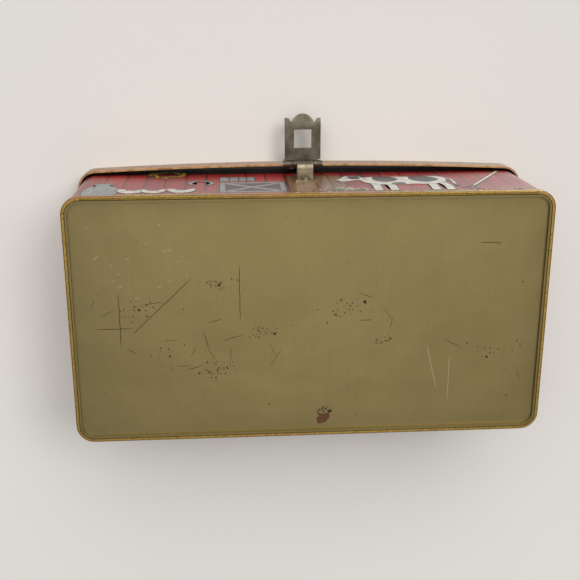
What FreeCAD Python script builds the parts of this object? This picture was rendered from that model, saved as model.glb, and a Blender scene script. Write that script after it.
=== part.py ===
"""A small hinged tin lunch box: body, bottom panel, lid, two hinges, hasp and catch, folding handle.

Frame: +Z up, +X along the long side, the hasp side faces -Y.
The origin is on the resting plane, under the middle of the box.
"""
import FreeCAD, Part
import math
import os
import Sketcher
from FreeCAD import Rotation, Vector

doc = FreeCAD.newDocument("lunch_box")
TINY = 1e-4                      # two lengths closer than this are the same

# ---------------------------------------------------------------- driving dimensions (mm)
SIZES = [
    ("box_length", 200.0),       # over the seamed bottom rim, X
    ("box_width", 106.5),        # over the seamed bottom rim, Y
    ("rim_corner", 7.5),         # corner radius of the bottom rim
    ("rim_proud", 0.8),          # how far the rim stands out from the wall
    ("rim_height", 3.2),
    ("rim_round", 0.5),          # rounding of the rim's outer bottom edge
    ("body_height", 62.0),
    ("tin", 0.8),                # thickness of the sheet
    ("hem_size", 1.8),           # hem folded inward round the mouth of the body
    ("hem_round", 0.7),
    ("panel_recess", 1.6),       # the bottom panel sits this far above the resting plane
    ("flange_inset", 0.2),       # the panel's flange stops this far above the resting plane
    ("skirt_edge", 50.4),        # height of the lower edge of the lid's skirt
    ("skirt_gap", 1.2),          # between the body and the skirt, front and back
    ("skirt_end_gap", 0.4),      # the same at the two ends
    ("lid_headroom", 0.4),       # between the mouth hem and the lid
    ("lid_bow", 2.2),            # the middle of the front skirt is sprung out by this
    ("lid_round", 2.6),          # rounding of the lid's top edge
    ("hinge_place", 62.0),       # hinge centres from the middle of the box
    ("hinge_width", 26.0),
    ("hinge_leaf_tall", 9.6),
    ("hinge_rivet_place", 7.8),  # rivets either side of the hinge's middle
    ("hinge_tab", 10.4),         # width of the lid's middle knuckle
    ("hinge_out", 3.2),          # hinge line behind the back wall
    ("hinge_drop", 2.6),         # hinge line below the skirt's edge
    ("knuckle_radius", 2.0),
    ("pin_radius", 1.0),
    ("pin_fit", 0.05),           # radial clearance of a pin that turns
    ("hinge_pin_head", 0.5),     # how much a peened head is larger than its pin
    ("hasp_pin_head", 0.4),
    ("side_play", 0.3),          # between knuckles, along the pin
    ("leaf", 0.8),               # thickness of leaves, brackets and backing plates
    ("hasp_width", 16.0),
    ("hasp_reach", 19.9),        # hinge line to the ear tips
    ("hasp_tongue", 1.6),        # the round tongue passes the ears by this
    ("tongue_wide", 9.9),        # the tongue at the notches beside it
    ("hasp_sheet", 1.0),
    ("hasp_curl", 9.0),          # width of the hasp's own knuckle
    ("hasp_curl_radius", 1.7),
    ("hasp_out", 4.6),           # hasp hinge line in front of the front wall
    ("hasp_drop", 2.2),          # hasp hinge line below the skirt's edge
    ("window_wide", 7.8),
    ("window_tall", 8.2),
    ("window_start", 7.0),       # hinge line to the near edge of the window
    ("bracket_tall", 9.0),
    ("bracket_rivet_place", 4.8),
    ("bracket_notch", 1.6),      # the bracket's lower edge is cut up by this over the hasp's curl
    ("backing_wide", 17.6),
    ("backing_tall", 7.6),
    ("hasp_bow_gap", 0.03),      # the flat backing plate clears the sprung skirt by this
    ("catch_wide", 6.8),
    ("catch_tall", 5.0),
    ("catch_reach", 7.4),        # the loop stands out from the wall by this
    ("catch_plate_wide", 9.0),
    ("catch_plate_tall", 15.0),
    ("catch_rivet_gap", 2.6),    # rivet centres past the loop
    ("rivet_radius", 1.1),
    ("rivet_head", 2.0),         # radius of a rivet's head
    ("rivet_head_tall", 0.8),
    ("handle_span", 72.0),       # between the legs of the bail
    ("handle_reach", 37.0),      # pivot line to the middle of the grip
    ("handle_lift", 6.4),        # pivot line above the lid
    ("wire_radius", 1.6),
    ("wire_bend", 4.0),          # bend radius at the pivots
    ("grip_bend", 8.0),          # bend radius beside the grip
    ("pivot_pin", 13.0),         # the bail's turned-in ends, from the leg's centre line
    ("barrel_radius", 2.9),
    ("barrel_long", 6.0),
    ("barrel_from_leg", 5.0),    # leg's centre line to the barrel's near end
    ("foot_long", 20.0),
    ("foot_wide", 9.0),
    ("foot_rivet_place", 6.6),
    ("web_thick", 3.6),
    ("grip_end_gap", 2.0),       # between the grip and the bail's bends
    ("grip_radius", 5.4),        # at the middle
    ("grip_end_radius", 4.2),
    ("grip_round", 1.5),         # rounding of the grip's ends
    ("overrun", 1.0),            # cutters run past the faces they cut by this
]
sheet = doc.addObject("Spreadsheet::Sheet", "sizes")
for row, (alias, value) in enumerate(SIZES, start=1):
    sheet.set(f"A{row}", alias)
    sheet.set(f"B{row}", str(value))
    sheet.setAlias(f"B{row}", alias)
doc.recompute()


def cell(text):
    """Turn plain words into an expression: every alias becomes sizes.alias."""
    words = {alias for alias, _ in SIZES}
    out = ""
    token = ""
    for letter in text + " ":
        if letter.isalnum() or letter == "_":
            token += letter
            continue
        out += "sizes." + token if token in words else token
        out += letter
        token = ""
    return out.strip()


def bind(thing, path, text):
    thing.setExpression(path, cell(text))


# Places that several pieces share, in the words of the sheet
WALL_X = "(box_length / 2 - rim_proud)"
WALL_Y = "(box_width / 2 - rim_proud)"
WALL_CORNER = "(rim_corner - rim_proud)"
LID_UNDER = "(body_height + lid_headroom)"
LID_TOP = "(body_height + lid_headroom + tin)"
SKIRT_Y = "(box_width / 2 - rim_proud + skirt_gap + tin)"
HINGE_Y = "(box_width / 2 - rim_proud + hinge_out)"
HINGE_Z = "(skirt_edge - hinge_drop)"
HASP_Y = "(-(box_width / 2 - rim_proud) - hasp_out)"
HASP_Z = "(skirt_edge - hasp_drop)"
HASP_LOW = "(skirt_edge - hasp_drop + hasp_curl_radius - hasp_sheet)"
HASP_HIGH = "(skirt_edge - hasp_drop + hasp_curl_radius)"
BOW_FRONT = "(-(box_width / 2 - rim_proud + skirt_gap + tin) - lid_bow)"
CATCH_Z = "(skirt_edge - hasp_drop - window_start - window_tall / 2)"
PIVOT_Z = "(body_height + lid_headroom + tin + handle_lift)"


# ---------------------------------------------------------------- building blocks
def block(name, x, y, z):
    """A box between two expressions in each direction."""
    item = doc.addObject("Part::Box", name)
    for side, axis, (low, high) in zip(("Length", "Width", "Height"), "xyz", (x, y, z)):
        bind(item, side, f"({high}) - ({low})")
        bind(item, f"Placement.Base.{axis}", low)
    return item


TURN = {
    "x": Rotation(Vector(0, 1, 0), 90),
    "y": Rotation(Vector(1, 0, 0), -90),
    "z": Rotation(),
}


def rod(name, along, radius, length, start):
    """A cylinder along x, y or z from the centre of its first face."""
    item = doc.addObject("Part::Cylinder", name)
    item.Placement = FreeCAD.Placement(Vector(), TURN[along])
    bind(item, "Radius", radius)
    bind(item, "Height", length)
    for axis, place in zip("xyz", start):
        bind(item, f"Placement.Base.{axis}", place)
    return item


def fuse(name, items):
    joined = doc.addObject("Part::MultiFuse", name)
    joined.Shapes = items
    joined.Refine = True
    return joined


def cut(name, base, tools):
    trimmed = doc.addObject("Part::Cut", name)
    trimmed.Base = base
    trimmed.Tool = tools[0] if len(tools) == 1 else fuse(name + "_tools", tools)
    trimmed.Refine = True
    return trimmed


def group(name, items):
    together = doc.addObject("Part::Compound", name)
    together.Links = items
    return together


def plane_of(body, role):
    for feature in body.Origin.OriginFeatures:
        if feature.Role == role:
            return feature
    raise LookupError(role)


def new_sketch(body, name, role="XY_Plane", height="0"):
    """A sketch on one of the body's own planes, lifted along that plane's normal."""
    sketch = body.newObject("Sketcher::SketchObject", name)
    sketch.AttachmentSupport = [(plane_of(body, role), "")]
    sketch.MapMode = "FlatFace"
    bind(sketch, "AttachmentOffset.Base.z", height)
    return sketch


def name_size(sketch, name, constraint, text):
    index = sketch.addConstraint(constraint)
    sketch.renameConstraint(index, name)
    bind(sketch, "Constraints." + name, text)


def add_rounded_loop(sketch, tag, half_x, half_y, corner, bow=None):
    """A centred rectangle with four equal round corners; its -Y side may be a shallow arc."""
    long_half, short_half, radius, sag = 100.0, 50.0, 5.0, 2.0
    corners = []
    for x_sign, y_sign, start in ((1, 1, 0.0), (-1, 1, 0.5), (-1, -1, 1.0), (1, -1, 1.5)):
        centre = Vector(x_sign * (long_half - radius), y_sign * (short_half - radius), 0)
        circle = Part.Circle(centre, Vector(0, 0, 1), radius)
        arc = Part.ArcOfCircle(circle, start * math.pi, (start + 0.5) * math.pi)
        corners.append(sketch.addGeometry(arc, False))
    sides = []
    for index in range(4):
        here = sketch.Geometry[corners[index]].EndPoint
        there = sketch.Geometry[corners[(index + 1) % 4]].StartPoint
        side = Part.LineSegment(here, there)
        if bow and index == 2:
            side = Part.Arc(here, Vector(0, -short_half - sag, 0), there)
        sides.append(sketch.addGeometry(side, False))
    for index in range(4):
        following = corners[(index + 1) % 4]
        sketch.addConstraint(Sketcher.Constraint("Tangent", corners[index], 2, sides[index], 1))
        sketch.addConstraint(Sketcher.Constraint("Tangent", sides[index], 2, following, 1))
        if not (bow and index == 2):
            way = "Horizontal" if index % 2 == 0 else "Vertical"
            sketch.addConstraint(Sketcher.Constraint(way, sides[index]))
    for arc in corners[1:]:
        sketch.addConstraint(Sketcher.Constraint("Equal", corners[0], arc))
    sketch.addConstraint(Sketcher.Constraint("Symmetric", corners[0], 3, corners[2], 3, -1, 1))
    name_size(sketch, tag + "_corner", Sketcher.Constraint("Radius", corners[0], radius), corner)
    wide = Sketcher.Constraint("DistanceX", corners[1], 3, corners[0], 3, 2 * (long_half - radius))
    name_size(sketch, tag + "_wide", wide, f"2 * (({half_x}) - ({corner}))")
    deep = Sketcher.Constraint("DistanceY", corners[2], 3, corners[1], 3, 2 * (short_half - radius))
    name_size(sketch, tag + "_deep", deep, f"2 * (({half_y}) - ({corner}))")
    if bow:
        sketch.addConstraint(Sketcher.Constraint("Horizontal", corners[2], 3, corners[3], 3))
        crown = sketch.addGeometry(Part.Point(Vector(0, -short_half - sag, 0)), True)
        sketch.addConstraint(Sketcher.Constraint("PointOnObject", crown, 1, sides[2]))
        sketch.addConstraint(Sketcher.Constraint("PointOnObject", crown, 1, -2))
        sprung = Sketcher.Constraint("DistanceY", crown, 1, -1, 1, short_half + sag)
        name_size(sketch, tag + "_crown", sprung, f"({half_y}) + ({bow})")


def pad(body, sketch, height):
    feature = body.newObject("PartDesign::Pad", sketch.Name + "_pad")
    feature.Profile = sketch
    bind(feature, "Length", height)
    sketch.Visibility = False
    return feature


def pocket(body, sketch, depth, reversed_way):
    """Cut, and check that material really went."""
    doc.recompute()
    before = body.Shape.Volume
    feature = body.newObject("PartDesign::Pocket", sketch.Name + "_pocket")
    feature.Profile = sketch
    bind(feature, "Length", depth)
    feature.Reversed = reversed_way
    sketch.Visibility = False
    doc.recompute()
    if body.Shape.Volume >= before:
        raise RuntimeError(sketch.Name + " cuts nothing")
    return feature


def new_body(name):
    body = doc.addObject("PartDesign::Body", name)
    body.Label = name
    return body


def loop_edges(feature, height, half_x, half_y, corner):
    """Names of the edges at a height that follow one rounded rectangle."""
    names = []
    for index, edge in enumerate(feature.Shape.Edges, start=1):
        box = edge.BoundBox
        if abs(box.ZMin - height) > TINY or abs(box.ZMax - height) > TINY:
            continue
        middle = edge.CenterOfMass
        if hasattr(edge.Curve, "Radius"):
            found = abs(edge.Curve.Radius - corner) < TINY
        else:
            found = abs(abs(middle.x) - half_x) < TINY or abs(abs(middle.y) - half_y) < TINY
        if found:
            names.append(f"Edge{index}")
    return names


def round_edges(body, feature, names, radius):
    fillet = body.newObject("PartDesign::Fillet", feature.Name + "_round")
    fillet.Base = (feature, names)
    bind(fillet, "Radius", radius)
    doc.recompute()
    return fillet


def size_of(alias):
    return float(sheet.get(alias))


# ---------------------------------------------------------------- places of rivets
def rivet(name, along, low, high, centre):
    """A rivet through stacked sheets, from the stack's low face to its high face, with two heads."""
    axis = "xyz".index(along)

    def at(place):
        spot = list(centre)
        spot[axis] = place
        return spot

    shank = rod(name + "_shank", along, "rivet_radius", f"({high}) - ({low})", at(low))
    low_head = rod(name + "_low", along, "rivet_head", "rivet_head_tall", at(f"({low}) - rivet_head_tall"))
    high_head = rod(name + "_high", along, "rivet_head", "rivet_head_tall", at(high))
    return fuse(name, [shank, low_head, high_head])


def hole(name, along, low, high, centre):
    """The hole that a rivet's shank fills, running past both faces."""
    start = list(centre)
    start["xyz".index(along)] = f"({low}) - overrun"
    return rod(name, along, "rivet_radius", f"({high}) - ({low}) + 2 * overrun", start)


SIDES = (("left", -1), ("right", 1))


def hinge_rivet_spots(side_sign, height):
    """Two rivet centres in a hinge leaf, either side of the hinge's middle."""
    spots = []
    for step in (-1, 1):
        spots.append((f"{side_sign} * hinge_place + {step} * hinge_rivet_place", "0", height))
    return spots


BODY_LEAF_Z = f"({HINGE_Z} - knuckle_radius - hinge_leaf_tall / 2)"
LID_LEAF_Z = "(skirt_edge + hinge_leaf_tall / 2)"
BRACKET_Z = "(skirt_edge + bracket_tall / 2)"
HASP_RIVETS = [(f"{step} * bracket_rivet_place", "0", BRACKET_Z) for step in (-1, 1)]
CATCH_RIVETS = [("0", "0", f"{CATCH_Z} + {step} * (catch_tall / 2 + catch_rivet_gap)") for step in (-1, 1)]
FOOT_RIVETS = [(side, step) for side in (-1, 1) for step in (-1, 1)]


def foot_spot(side_sign, step):
    return (f"{side_sign} * (handle_span / 2 - barrel_from_leg - barrel_long / 2)",
            f"{step} * foot_rivet_place", "0")


# ---------------------------------------------------------------- body and bottom
def make_body_shell():
    """Four walls in one band, a seamed rim at the bottom and a hem folded in at the mouth."""
    body = new_body("body_shell_sheet")
    wall = new_sketch(body, "wall_outline")
    add_rounded_loop(wall, "outer", WALL_X, WALL_Y, WALL_CORNER)
    add_rounded_loop(wall, "inner", WALL_X + " - tin", WALL_Y + " - tin", WALL_CORNER + " - tin")
    pad(body, wall, "body_height")
    rim = new_sketch(body, "rim_outline")
    add_rounded_loop(rim, "outer", "box_length / 2", "box_width / 2", "rim_corner")
    add_rounded_loop(rim, "inner", WALL_X + " - tin", WALL_Y + " - tin", WALL_CORNER + " - tin")
    pad(body, rim, "rim_height")
    hem = new_sketch(body, "hem_outline", height="body_height - hem_size")
    add_rounded_loop(hem, "outer", WALL_X, WALL_Y, WALL_CORNER)
    inner_corner = WALL_CORNER + " - hem_size"
    add_rounded_loop(hem, "inner", WALL_X + " - hem_size", WALL_Y + " - hem_size", inner_corner)
    hem_pad = pad(body, hem, "hem_size")
    doc.recompute()
    rim_x, rim_y, corner = size_of("box_length") / 2, size_of("box_width") / 2, size_of("rim_corner")
    inward = size_of("rim_proud") + size_of("hem_size")
    top, hem = size_of("body_height"), size_of("hem_size")
    mouth = (rim_x - inward, rim_y - inward, corner - inward)
    mouth_edges = loop_edges(hem_pad, top, *mouth) + loop_edges(hem_pad, top - hem, *mouth)
    hem_round = round_edges(body, hem_pad, mouth_edges, "hem_round")
    round_edges(body, hem_round, loop_edges(hem_round, 0.0, rim_x, rim_y, corner), "rim_round")
    holes = []
    for x, _, z in CATCH_RIVETS:
        wall_y = f"-{WALL_Y}"
        holes.append(hole("catch_hole", "y", wall_y, f"{wall_y} + tin", (x, "0", z)))
    for _, sign in SIDES:
        for x, _, z in hinge_rivet_spots(sign, BODY_LEAF_Z):
            holes.append(hole("hinge_hole", "y", f"{WALL_Y} - tin", WALL_Y, (x, "0", z)))
    return cut("body_shell", body, holes)


def make_bottom_panel():
    """A shallow pan pressed into the bottom of the band: a flat panel and a turned-down flange."""
    body = new_body("bottom_panel")
    plate = new_sketch(body, "panel_outline", height="panel_recess")
    add_rounded_loop(plate, "outer", WALL_X + " - tin", WALL_Y + " - tin", WALL_CORNER + " - tin")
    pad(body, plate, "tin")
    flange = new_sketch(body, "flange_outline", height="flange_inset")
    add_rounded_loop(flange, "outer", WALL_X + " - tin", WALL_Y + " - tin", WALL_CORNER + " - tin")
    inner = (WALL_X + " - 2 * tin", WALL_Y + " - 2 * tin", WALL_CORNER + " - 2 * tin")
    add_rounded_loop(flange, "inner", *inner)
    pad(body, flange, "panel_recess")
    return body


# ---------------------------------------------------------------- lid
def make_lid_shell():
    """A shallow pressed lid whose skirt passes outside the body; its front is sprung outward."""
    body = new_body("lid_shell_sheet")
    out_x, out_y = f"{WALL_X} + skirt_end_gap + tin", SKIRT_Y
    out_corner = f"{WALL_CORNER} + skirt_end_gap + tin"
    outer = new_sketch(body, "lid_outline", height="skirt_edge")
    add_rounded_loop(outer, "outer", out_x, out_y, out_corner, bow="lid_bow")
    solid = pad(body, outer, f"{LID_TOP} - skirt_edge")
    doc.recompute()
    top_height = size_of("body_height") + size_of("lid_headroom") + size_of("tin")
    top = [f"Edge{index}" for index, edge in enumerate(solid.Shape.Edges, start=1)
           if edge.BoundBox.ZMin > top_height - TINY]
    round_edges(body, solid, top, "lid_round")
    hollow = new_sketch(body, "lid_hollow_outline", height="skirt_edge")
    inner = (f"{out_x} - tin", f"{out_y} - tin", f"{out_corner} - tin")
    add_rounded_loop(hollow, "inner", *inner, bow="lid_bow")
    pocket(body, hollow, f"{LID_UNDER} - skirt_edge", True)
    holes = []
    for x, _, z in HASP_RIVETS:
        holes.append(hole("hasp_hole", "y", BOW_FRONT, f"{BOW_FRONT} + tin", (x, "0", z)))
    for _, sign in SIDES:
        for x, _, z in hinge_rivet_spots(sign, LID_LEAF_Z):
            holes.append(hole("lid_hinge_hole", "y", f"{SKIRT_Y} - tin", SKIRT_Y, (x, "0", z)))
    for side, step in FOOT_RIVETS:
        x, y, _ = foot_spot(side, step)
        holes.append(hole("foot_hole", "z", LID_UNDER, LID_TOP, (x, y, "0")))
    return cut("lid_shell", body, holes)


# ---------------------------------------------------------------- hinges
def hinge_span(sign):
    """Low and high X of a hinge, and of the lid's knuckle in its middle."""
    centre = f"{sign} * hinge_place"
    low, high = f"({centre} - hinge_width / 2)", f"({centre} + hinge_width / 2)"
    tab_low, tab_high = f"({centre} - hinge_tab / 2)", f"({centre} + hinge_tab / 2)"
    return low, high, tab_low, tab_high


def make_body_leaf(side, sign):
    """The leaf on the back wall, with two outer knuckles."""
    name = f"body_hinge_leaf_{side}"
    low, high, tab_low, tab_high = hinge_span(sign)
    plate_top = f"{HINGE_Z} - knuckle_radius"
    plate = block(name + "_plate", (low, high), (WALL_Y, f"{WALL_Y} + leaf"),
                  (f"{plate_top} - hinge_leaf_tall", f"{plate_top} + leaf"))
    parts = [plate]
    for start, end in ((low, f"{tab_low} - side_play"), (f"{tab_high} + side_play", high)):
        web_y = (WALL_Y, HINGE_Y)
        parts.append(block(name + "_web", (start, end), web_y, (plate_top, f"{plate_top} + leaf")))
        parts.append(rod(name + "_knuckle", "x", "knuckle_radius", f"{end} - ({start})",
                         (start, HINGE_Y, HINGE_Z)))
    tools = [rod(name + "_bore", "x", "pin_radius + pin_fit", "hinge_width + 2 * overrun",
                 (f"{low} - overrun", HINGE_Y, HINGE_Z))]
    for x, _, z in hinge_rivet_spots(sign, BODY_LEAF_Z):
        tools.append(hole(name + "_hole", "y", WALL_Y, f"{WALL_Y} + leaf", (x, "0", z)))
    return cut(name, fuse(name + "_whole", parts), tools)


def make_lid_leaf(side, sign):
    """The leaf on the lid's back skirt, with one middle knuckle."""
    name = f"lid_hinge_leaf_{side}"
    low, high, tab_low, tab_high = hinge_span(sign)
    leaf_y = (SKIRT_Y, f"{SKIRT_Y} + leaf")
    parts = [block(name + "_plate", (low, high), leaf_y, ("skirt_edge", "skirt_edge + hinge_leaf_tall"))]
    parts.append(block(name + "_tab", (tab_low, tab_high), leaf_y, (HINGE_Z, "skirt_edge")))
    parts.append(rod(name + "_knuckle", "x", "knuckle_radius", "hinge_tab", (tab_low, HINGE_Y, HINGE_Z)))
    tools = [rod(name + "_bore", "x", "pin_radius + pin_fit", "hinge_width + 2 * overrun",
                 (f"{low} - overrun", HINGE_Y, HINGE_Z))]
    for x, _, z in hinge_rivet_spots(sign, LID_LEAF_Z):
        tools.append(hole(name + "_hole", "y", SKIRT_Y, f"{SKIRT_Y} + leaf", (x, "0", z)))
    return cut(name, fuse(name + "_whole", parts), tools)


def make_pin(name, low, long, y, z, head):
    """A pin with a peened head at each end."""
    shank = rod(name + "_shank", "x", "pin_radius", long, (low, y, z))
    heads = [rod(name + "_head", "x", head, "leaf", (f"{low} - leaf", y, z)),
             rod(name + "_head", "x", head, "leaf", (f"{low} + {long}", y, z))]
    return fuse(name, [shank] + heads)


def make_hinges():
    nodes = []
    body_rivets, lid_rivets = [], []
    for side, sign in SIDES:
        nodes.append(make_body_leaf(side, sign))
        nodes.append(make_lid_leaf(side, sign))
        low = hinge_span(sign)[0]
        pin_name = f"hinge_pin_{side}"
        head = "pin_radius + hinge_pin_head"
        nodes.append(make_pin(pin_name, low, "hinge_width", HINGE_Y, HINGE_Z, head))
        for x, _, z in hinge_rivet_spots(sign, BODY_LEAF_Z):
            body_rivets.append(rivet("body_rivet", "y", f"{WALL_Y} - tin", f"{WALL_Y} + leaf", (x, "0", z)))
        for x, _, z in hinge_rivet_spots(sign, LID_LEAF_Z):
            low_face = f"{SKIRT_Y} - tin"
            lid_rivets.append(rivet("lid_rivet", "y", low_face, f"{SKIRT_Y} + leaf", (x, "0", z)))
    nodes.append(group("body_hinge_rivets", body_rivets))
    nodes.append(group("lid_hinge_rivets", lid_rivets))
    return nodes


# ---------------------------------------------------------------- hasp on the lid
def make_hasp_plate():
    """The swinging plate, straight out from the top of its curl, with a window in the middle."""
    body = new_body("hasp_plate_sheet")
    outline = new_sketch(body, "hasp_outline", height=HASP_LOW)
    half, reach, tongue = size_of("hasp_width") / 2, size_of("hasp_reach"), size_of("hasp_tongue")
    hinge = -(size_of("box_width") / 2 - size_of("rim_proud")) - size_of("hasp_out")
    notch = size_of("tongue_wide") / 2
    root = hinge - size_of("hasp_curl_radius") - size_of("side_play")
    tip = hinge - reach
    corners = [Vector(half, root, 0), Vector(-half, root, 0), Vector(-half, tip, 0),
               Vector(-notch, tip + tongue, 0), Vector(notch, tip + tongue, 0), Vector(half, tip, 0)]
    right, root_line, left, ear_left = corners[0], corners[1], corners[2], corners[3]
    lines = [(right, root_line), (root_line, left), (left, ear_left)]
    ids = [outline.addGeometry(Part.LineSegment(*line), False) for line in lines]
    crown = Vector(0, tip - tongue, 0)
    ids.append(outline.addGeometry(Part.Arc(corners[3], crown, corners[4]), False))
    ids.append(outline.addGeometry(Part.LineSegment(corners[4], corners[5]), False))
    ids.append(outline.addGeometry(Part.LineSegment(corners[5], corners[0]), False))
    arc = ids[3]
    arc_start = 1 if (outline.Geometry[arc].StartPoint - corners[3]).Length < 1e-6 else 2
    joins = [(ids[0], 2, ids[1], 1), (ids[1], 2, ids[2], 1), (ids[2], 2, arc, arc_start),
             (arc, 3 - arc_start, ids[4], 1), (ids[4], 2, ids[5], 1), (ids[5], 2, ids[0], 1)]
    for join in joins:
        outline.addConstraint(Sketcher.Constraint("Coincident", *join))
    outline.addConstraint(Sketcher.Constraint("Horizontal", ids[0]))
    outline.addConstraint(Sketcher.Constraint("Vertical", ids[1]))
    outline.addConstraint(Sketcher.Constraint("Vertical", ids[5]))
    outline.addConstraint(Sketcher.Constraint("Symmetric", ids[1], 2, ids[5], 1, -2))
    outline.addConstraint(Sketcher.Constraint("Symmetric", arc, 1, arc, 2, -2))
    top = outline.addGeometry(Part.Point(crown), True)
    outline.addConstraint(Sketcher.Constraint("PointOnObject", top, 1, arc))
    outline.addConstraint(Sketcher.Constraint("PointOnObject", top, 1, -2))
    wide = Sketcher.Constraint("DistanceX", ids[0], 2, ids[0], 1, 2 * half)
    name_size(outline, "wide", wide, "hasp_width")
    base = Sketcher.Constraint("DistanceY", ids[0], 1, -1, 1, -root)
    name_size(outline, "root", base, f"-{HASP_Y} + hasp_curl_radius + side_play")
    ear = Sketcher.Constraint("DistanceY", ids[1], 2, -1, 1, -tip)
    name_size(outline, "ear", ear, f"-{HASP_Y} + hasp_reach")
    valley = Sketcher.Constraint("DistanceY", arc, arc_start, -1, 1, -tip - tongue)
    name_size(outline, "valley", valley, f"-{HASP_Y} + hasp_reach - hasp_tongue")
    inset = Sketcher.Constraint("DistanceX", -1, 1, ids[4], 1, notch)
    name_size(outline, "notch", inset, "tongue_wide / 2")
    peak = Sketcher.Constraint("DistanceY", top, 1, -1, 1, -tip + tongue)
    name_size(outline, "crown", peak, f"-{HASP_Y} + hasp_reach + hasp_tongue")
    pad(body, outline, "hasp_sheet")
    window = new_sketch(body, "window_outline", height=HASP_LOW)
    add_window(window)
    pocket(body, window, "hasp_sheet", True)
    curl_low = "-hasp_curl / 2"
    tab_y = (f"{HASP_Y} - hasp_curl_radius - side_play - overrun", HASP_Y)
    tab = block("hasp_tab", (curl_low, "hasp_curl / 2"), tab_y, (HASP_LOW, HASP_HIGH))
    curl = rod("hasp_knuckle", "x", "hasp_curl_radius", "hasp_curl", (curl_low, HASP_Y, HASP_Z))
    bore = rod("hasp_bore", "x", "pin_radius + pin_fit", "hasp_curl + 2 * overrun",
               (f"{curl_low} - overrun", HASP_Y, HASP_Z))
    return cut("hasp_plate", fuse("hasp_plate_whole", [body, tab, curl]), [bore])


def add_window(sketch):
    """The square hole that passes over the catch."""
    far = f"-{HASP_Y} + window_start + window_tall"
    near = f"-{HASP_Y} + window_start"
    right = size_of("window_wide") / 2
    left = -right
    hinge = -(size_of("box_width") / 2 - size_of("rim_proud")) - size_of("hasp_out")
    high = hinge - size_of("window_start")
    low = high - size_of("window_tall")
    points = [Vector(left, low, 0), Vector(right, low, 0), Vector(right, high, 0), Vector(left, high, 0)]
    ids = []
    for index in range(4):
        edge = Part.LineSegment(points[index], points[(index + 1) % 4])
        ids.append(sketch.addGeometry(edge, False))
    for index in range(4):
        sketch.addConstraint(Sketcher.Constraint("Coincident", ids[index], 2, ids[(index + 1) % 4], 1))
    for index, way in ((1, "Vertical"), (2, "Horizontal"), (3, "Vertical")):
        sketch.addConstraint(Sketcher.Constraint(way, ids[index]))
    sketch.addConstraint(Sketcher.Constraint("Symmetric", ids[0], 1, ids[0], 2, -2))
    across = Sketcher.Constraint("DistanceX", ids[0], 1, ids[0], 2, right - left)
    name_size(sketch, "window_wide", across, "window_wide")
    name_size(sketch, "far", Sketcher.Constraint("DistanceY", ids[0], 1, -1, 1, -low), far)
    name_size(sketch, "near", Sketcher.Constraint("DistanceY", ids[2], 1, -1, 1, -high), near)


def make_hasp():
    """Plate, bracket outside the skirt, backing plate inside it, pin and rivets."""
    nodes = [make_hasp_plate()]
    half = "hasp_width / 2"
    outer = (f"{BOW_FRONT} - leaf", BOW_FRONT)
    tall = ("skirt_edge", "skirt_edge + bracket_tall")
    parts = [block("bracket_plate", (f"-{half}", half), outer, tall)]
    for low, high in ((f"-{half}", "-hasp_curl / 2 - side_play"), ("hasp_curl / 2 + side_play", half)):
        parts.append(block("bracket_tab", (low, high), outer, (HASP_Z, "skirt_edge")))
        parts.append(rod("bracket_knuckle", "x", "hasp_curl_radius", f"({high}) - ({low})",
                         (low, HASP_Y, HASP_Z)))
    tools = [rod("bracket_bore", "x", "pin_radius + pin_fit", "hasp_width + 2 * overrun",
                 (f"-{half} - overrun", HASP_Y, HASP_Z))]
    tools.append(block("bracket_notch_cut", ("-hasp_curl / 2 - side_play", "hasp_curl / 2 + side_play"),
                       (f"{outer[0]} - overrun", f"{outer[1]} + tin / 2"),
                       ("skirt_edge - overrun", "skirt_edge + bracket_notch")))
    backing_y = (f"{BOW_FRONT} + tin + hasp_bow_gap", f"{BOW_FRONT} + tin + hasp_bow_gap + leaf")
    backing = block("backing_plate", ("-backing_wide / 2", "backing_wide / 2"), backing_y,
                    ("skirt_edge + leaf", "skirt_edge + leaf + backing_tall"))
    backing_holes, rivets = [], []
    for x, _, z in HASP_RIVETS:
        tools.append(hole("bracket_hole", "y", *outer, (x, "0", z)))
        backing_holes.append(hole("backing_hole", "y", *backing_y, (x, "0", z)))
        rivets.append(rivet("hasp_rivet", "y", outer[0], backing_y[1], (x, "0", z)))
    nodes.append(cut("hasp_bracket", fuse("bracket_whole", parts), tools))
    nodes.append(cut("hasp_backing_plate", backing, backing_holes))
    head = "pin_radius + hasp_pin_head"
    nodes.append(make_pin("hasp_pin", f"-{half}", "hasp_width", HASP_Y, HASP_Z, head))
    nodes.append(group("hasp_rivets", rivets))
    return nodes


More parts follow.
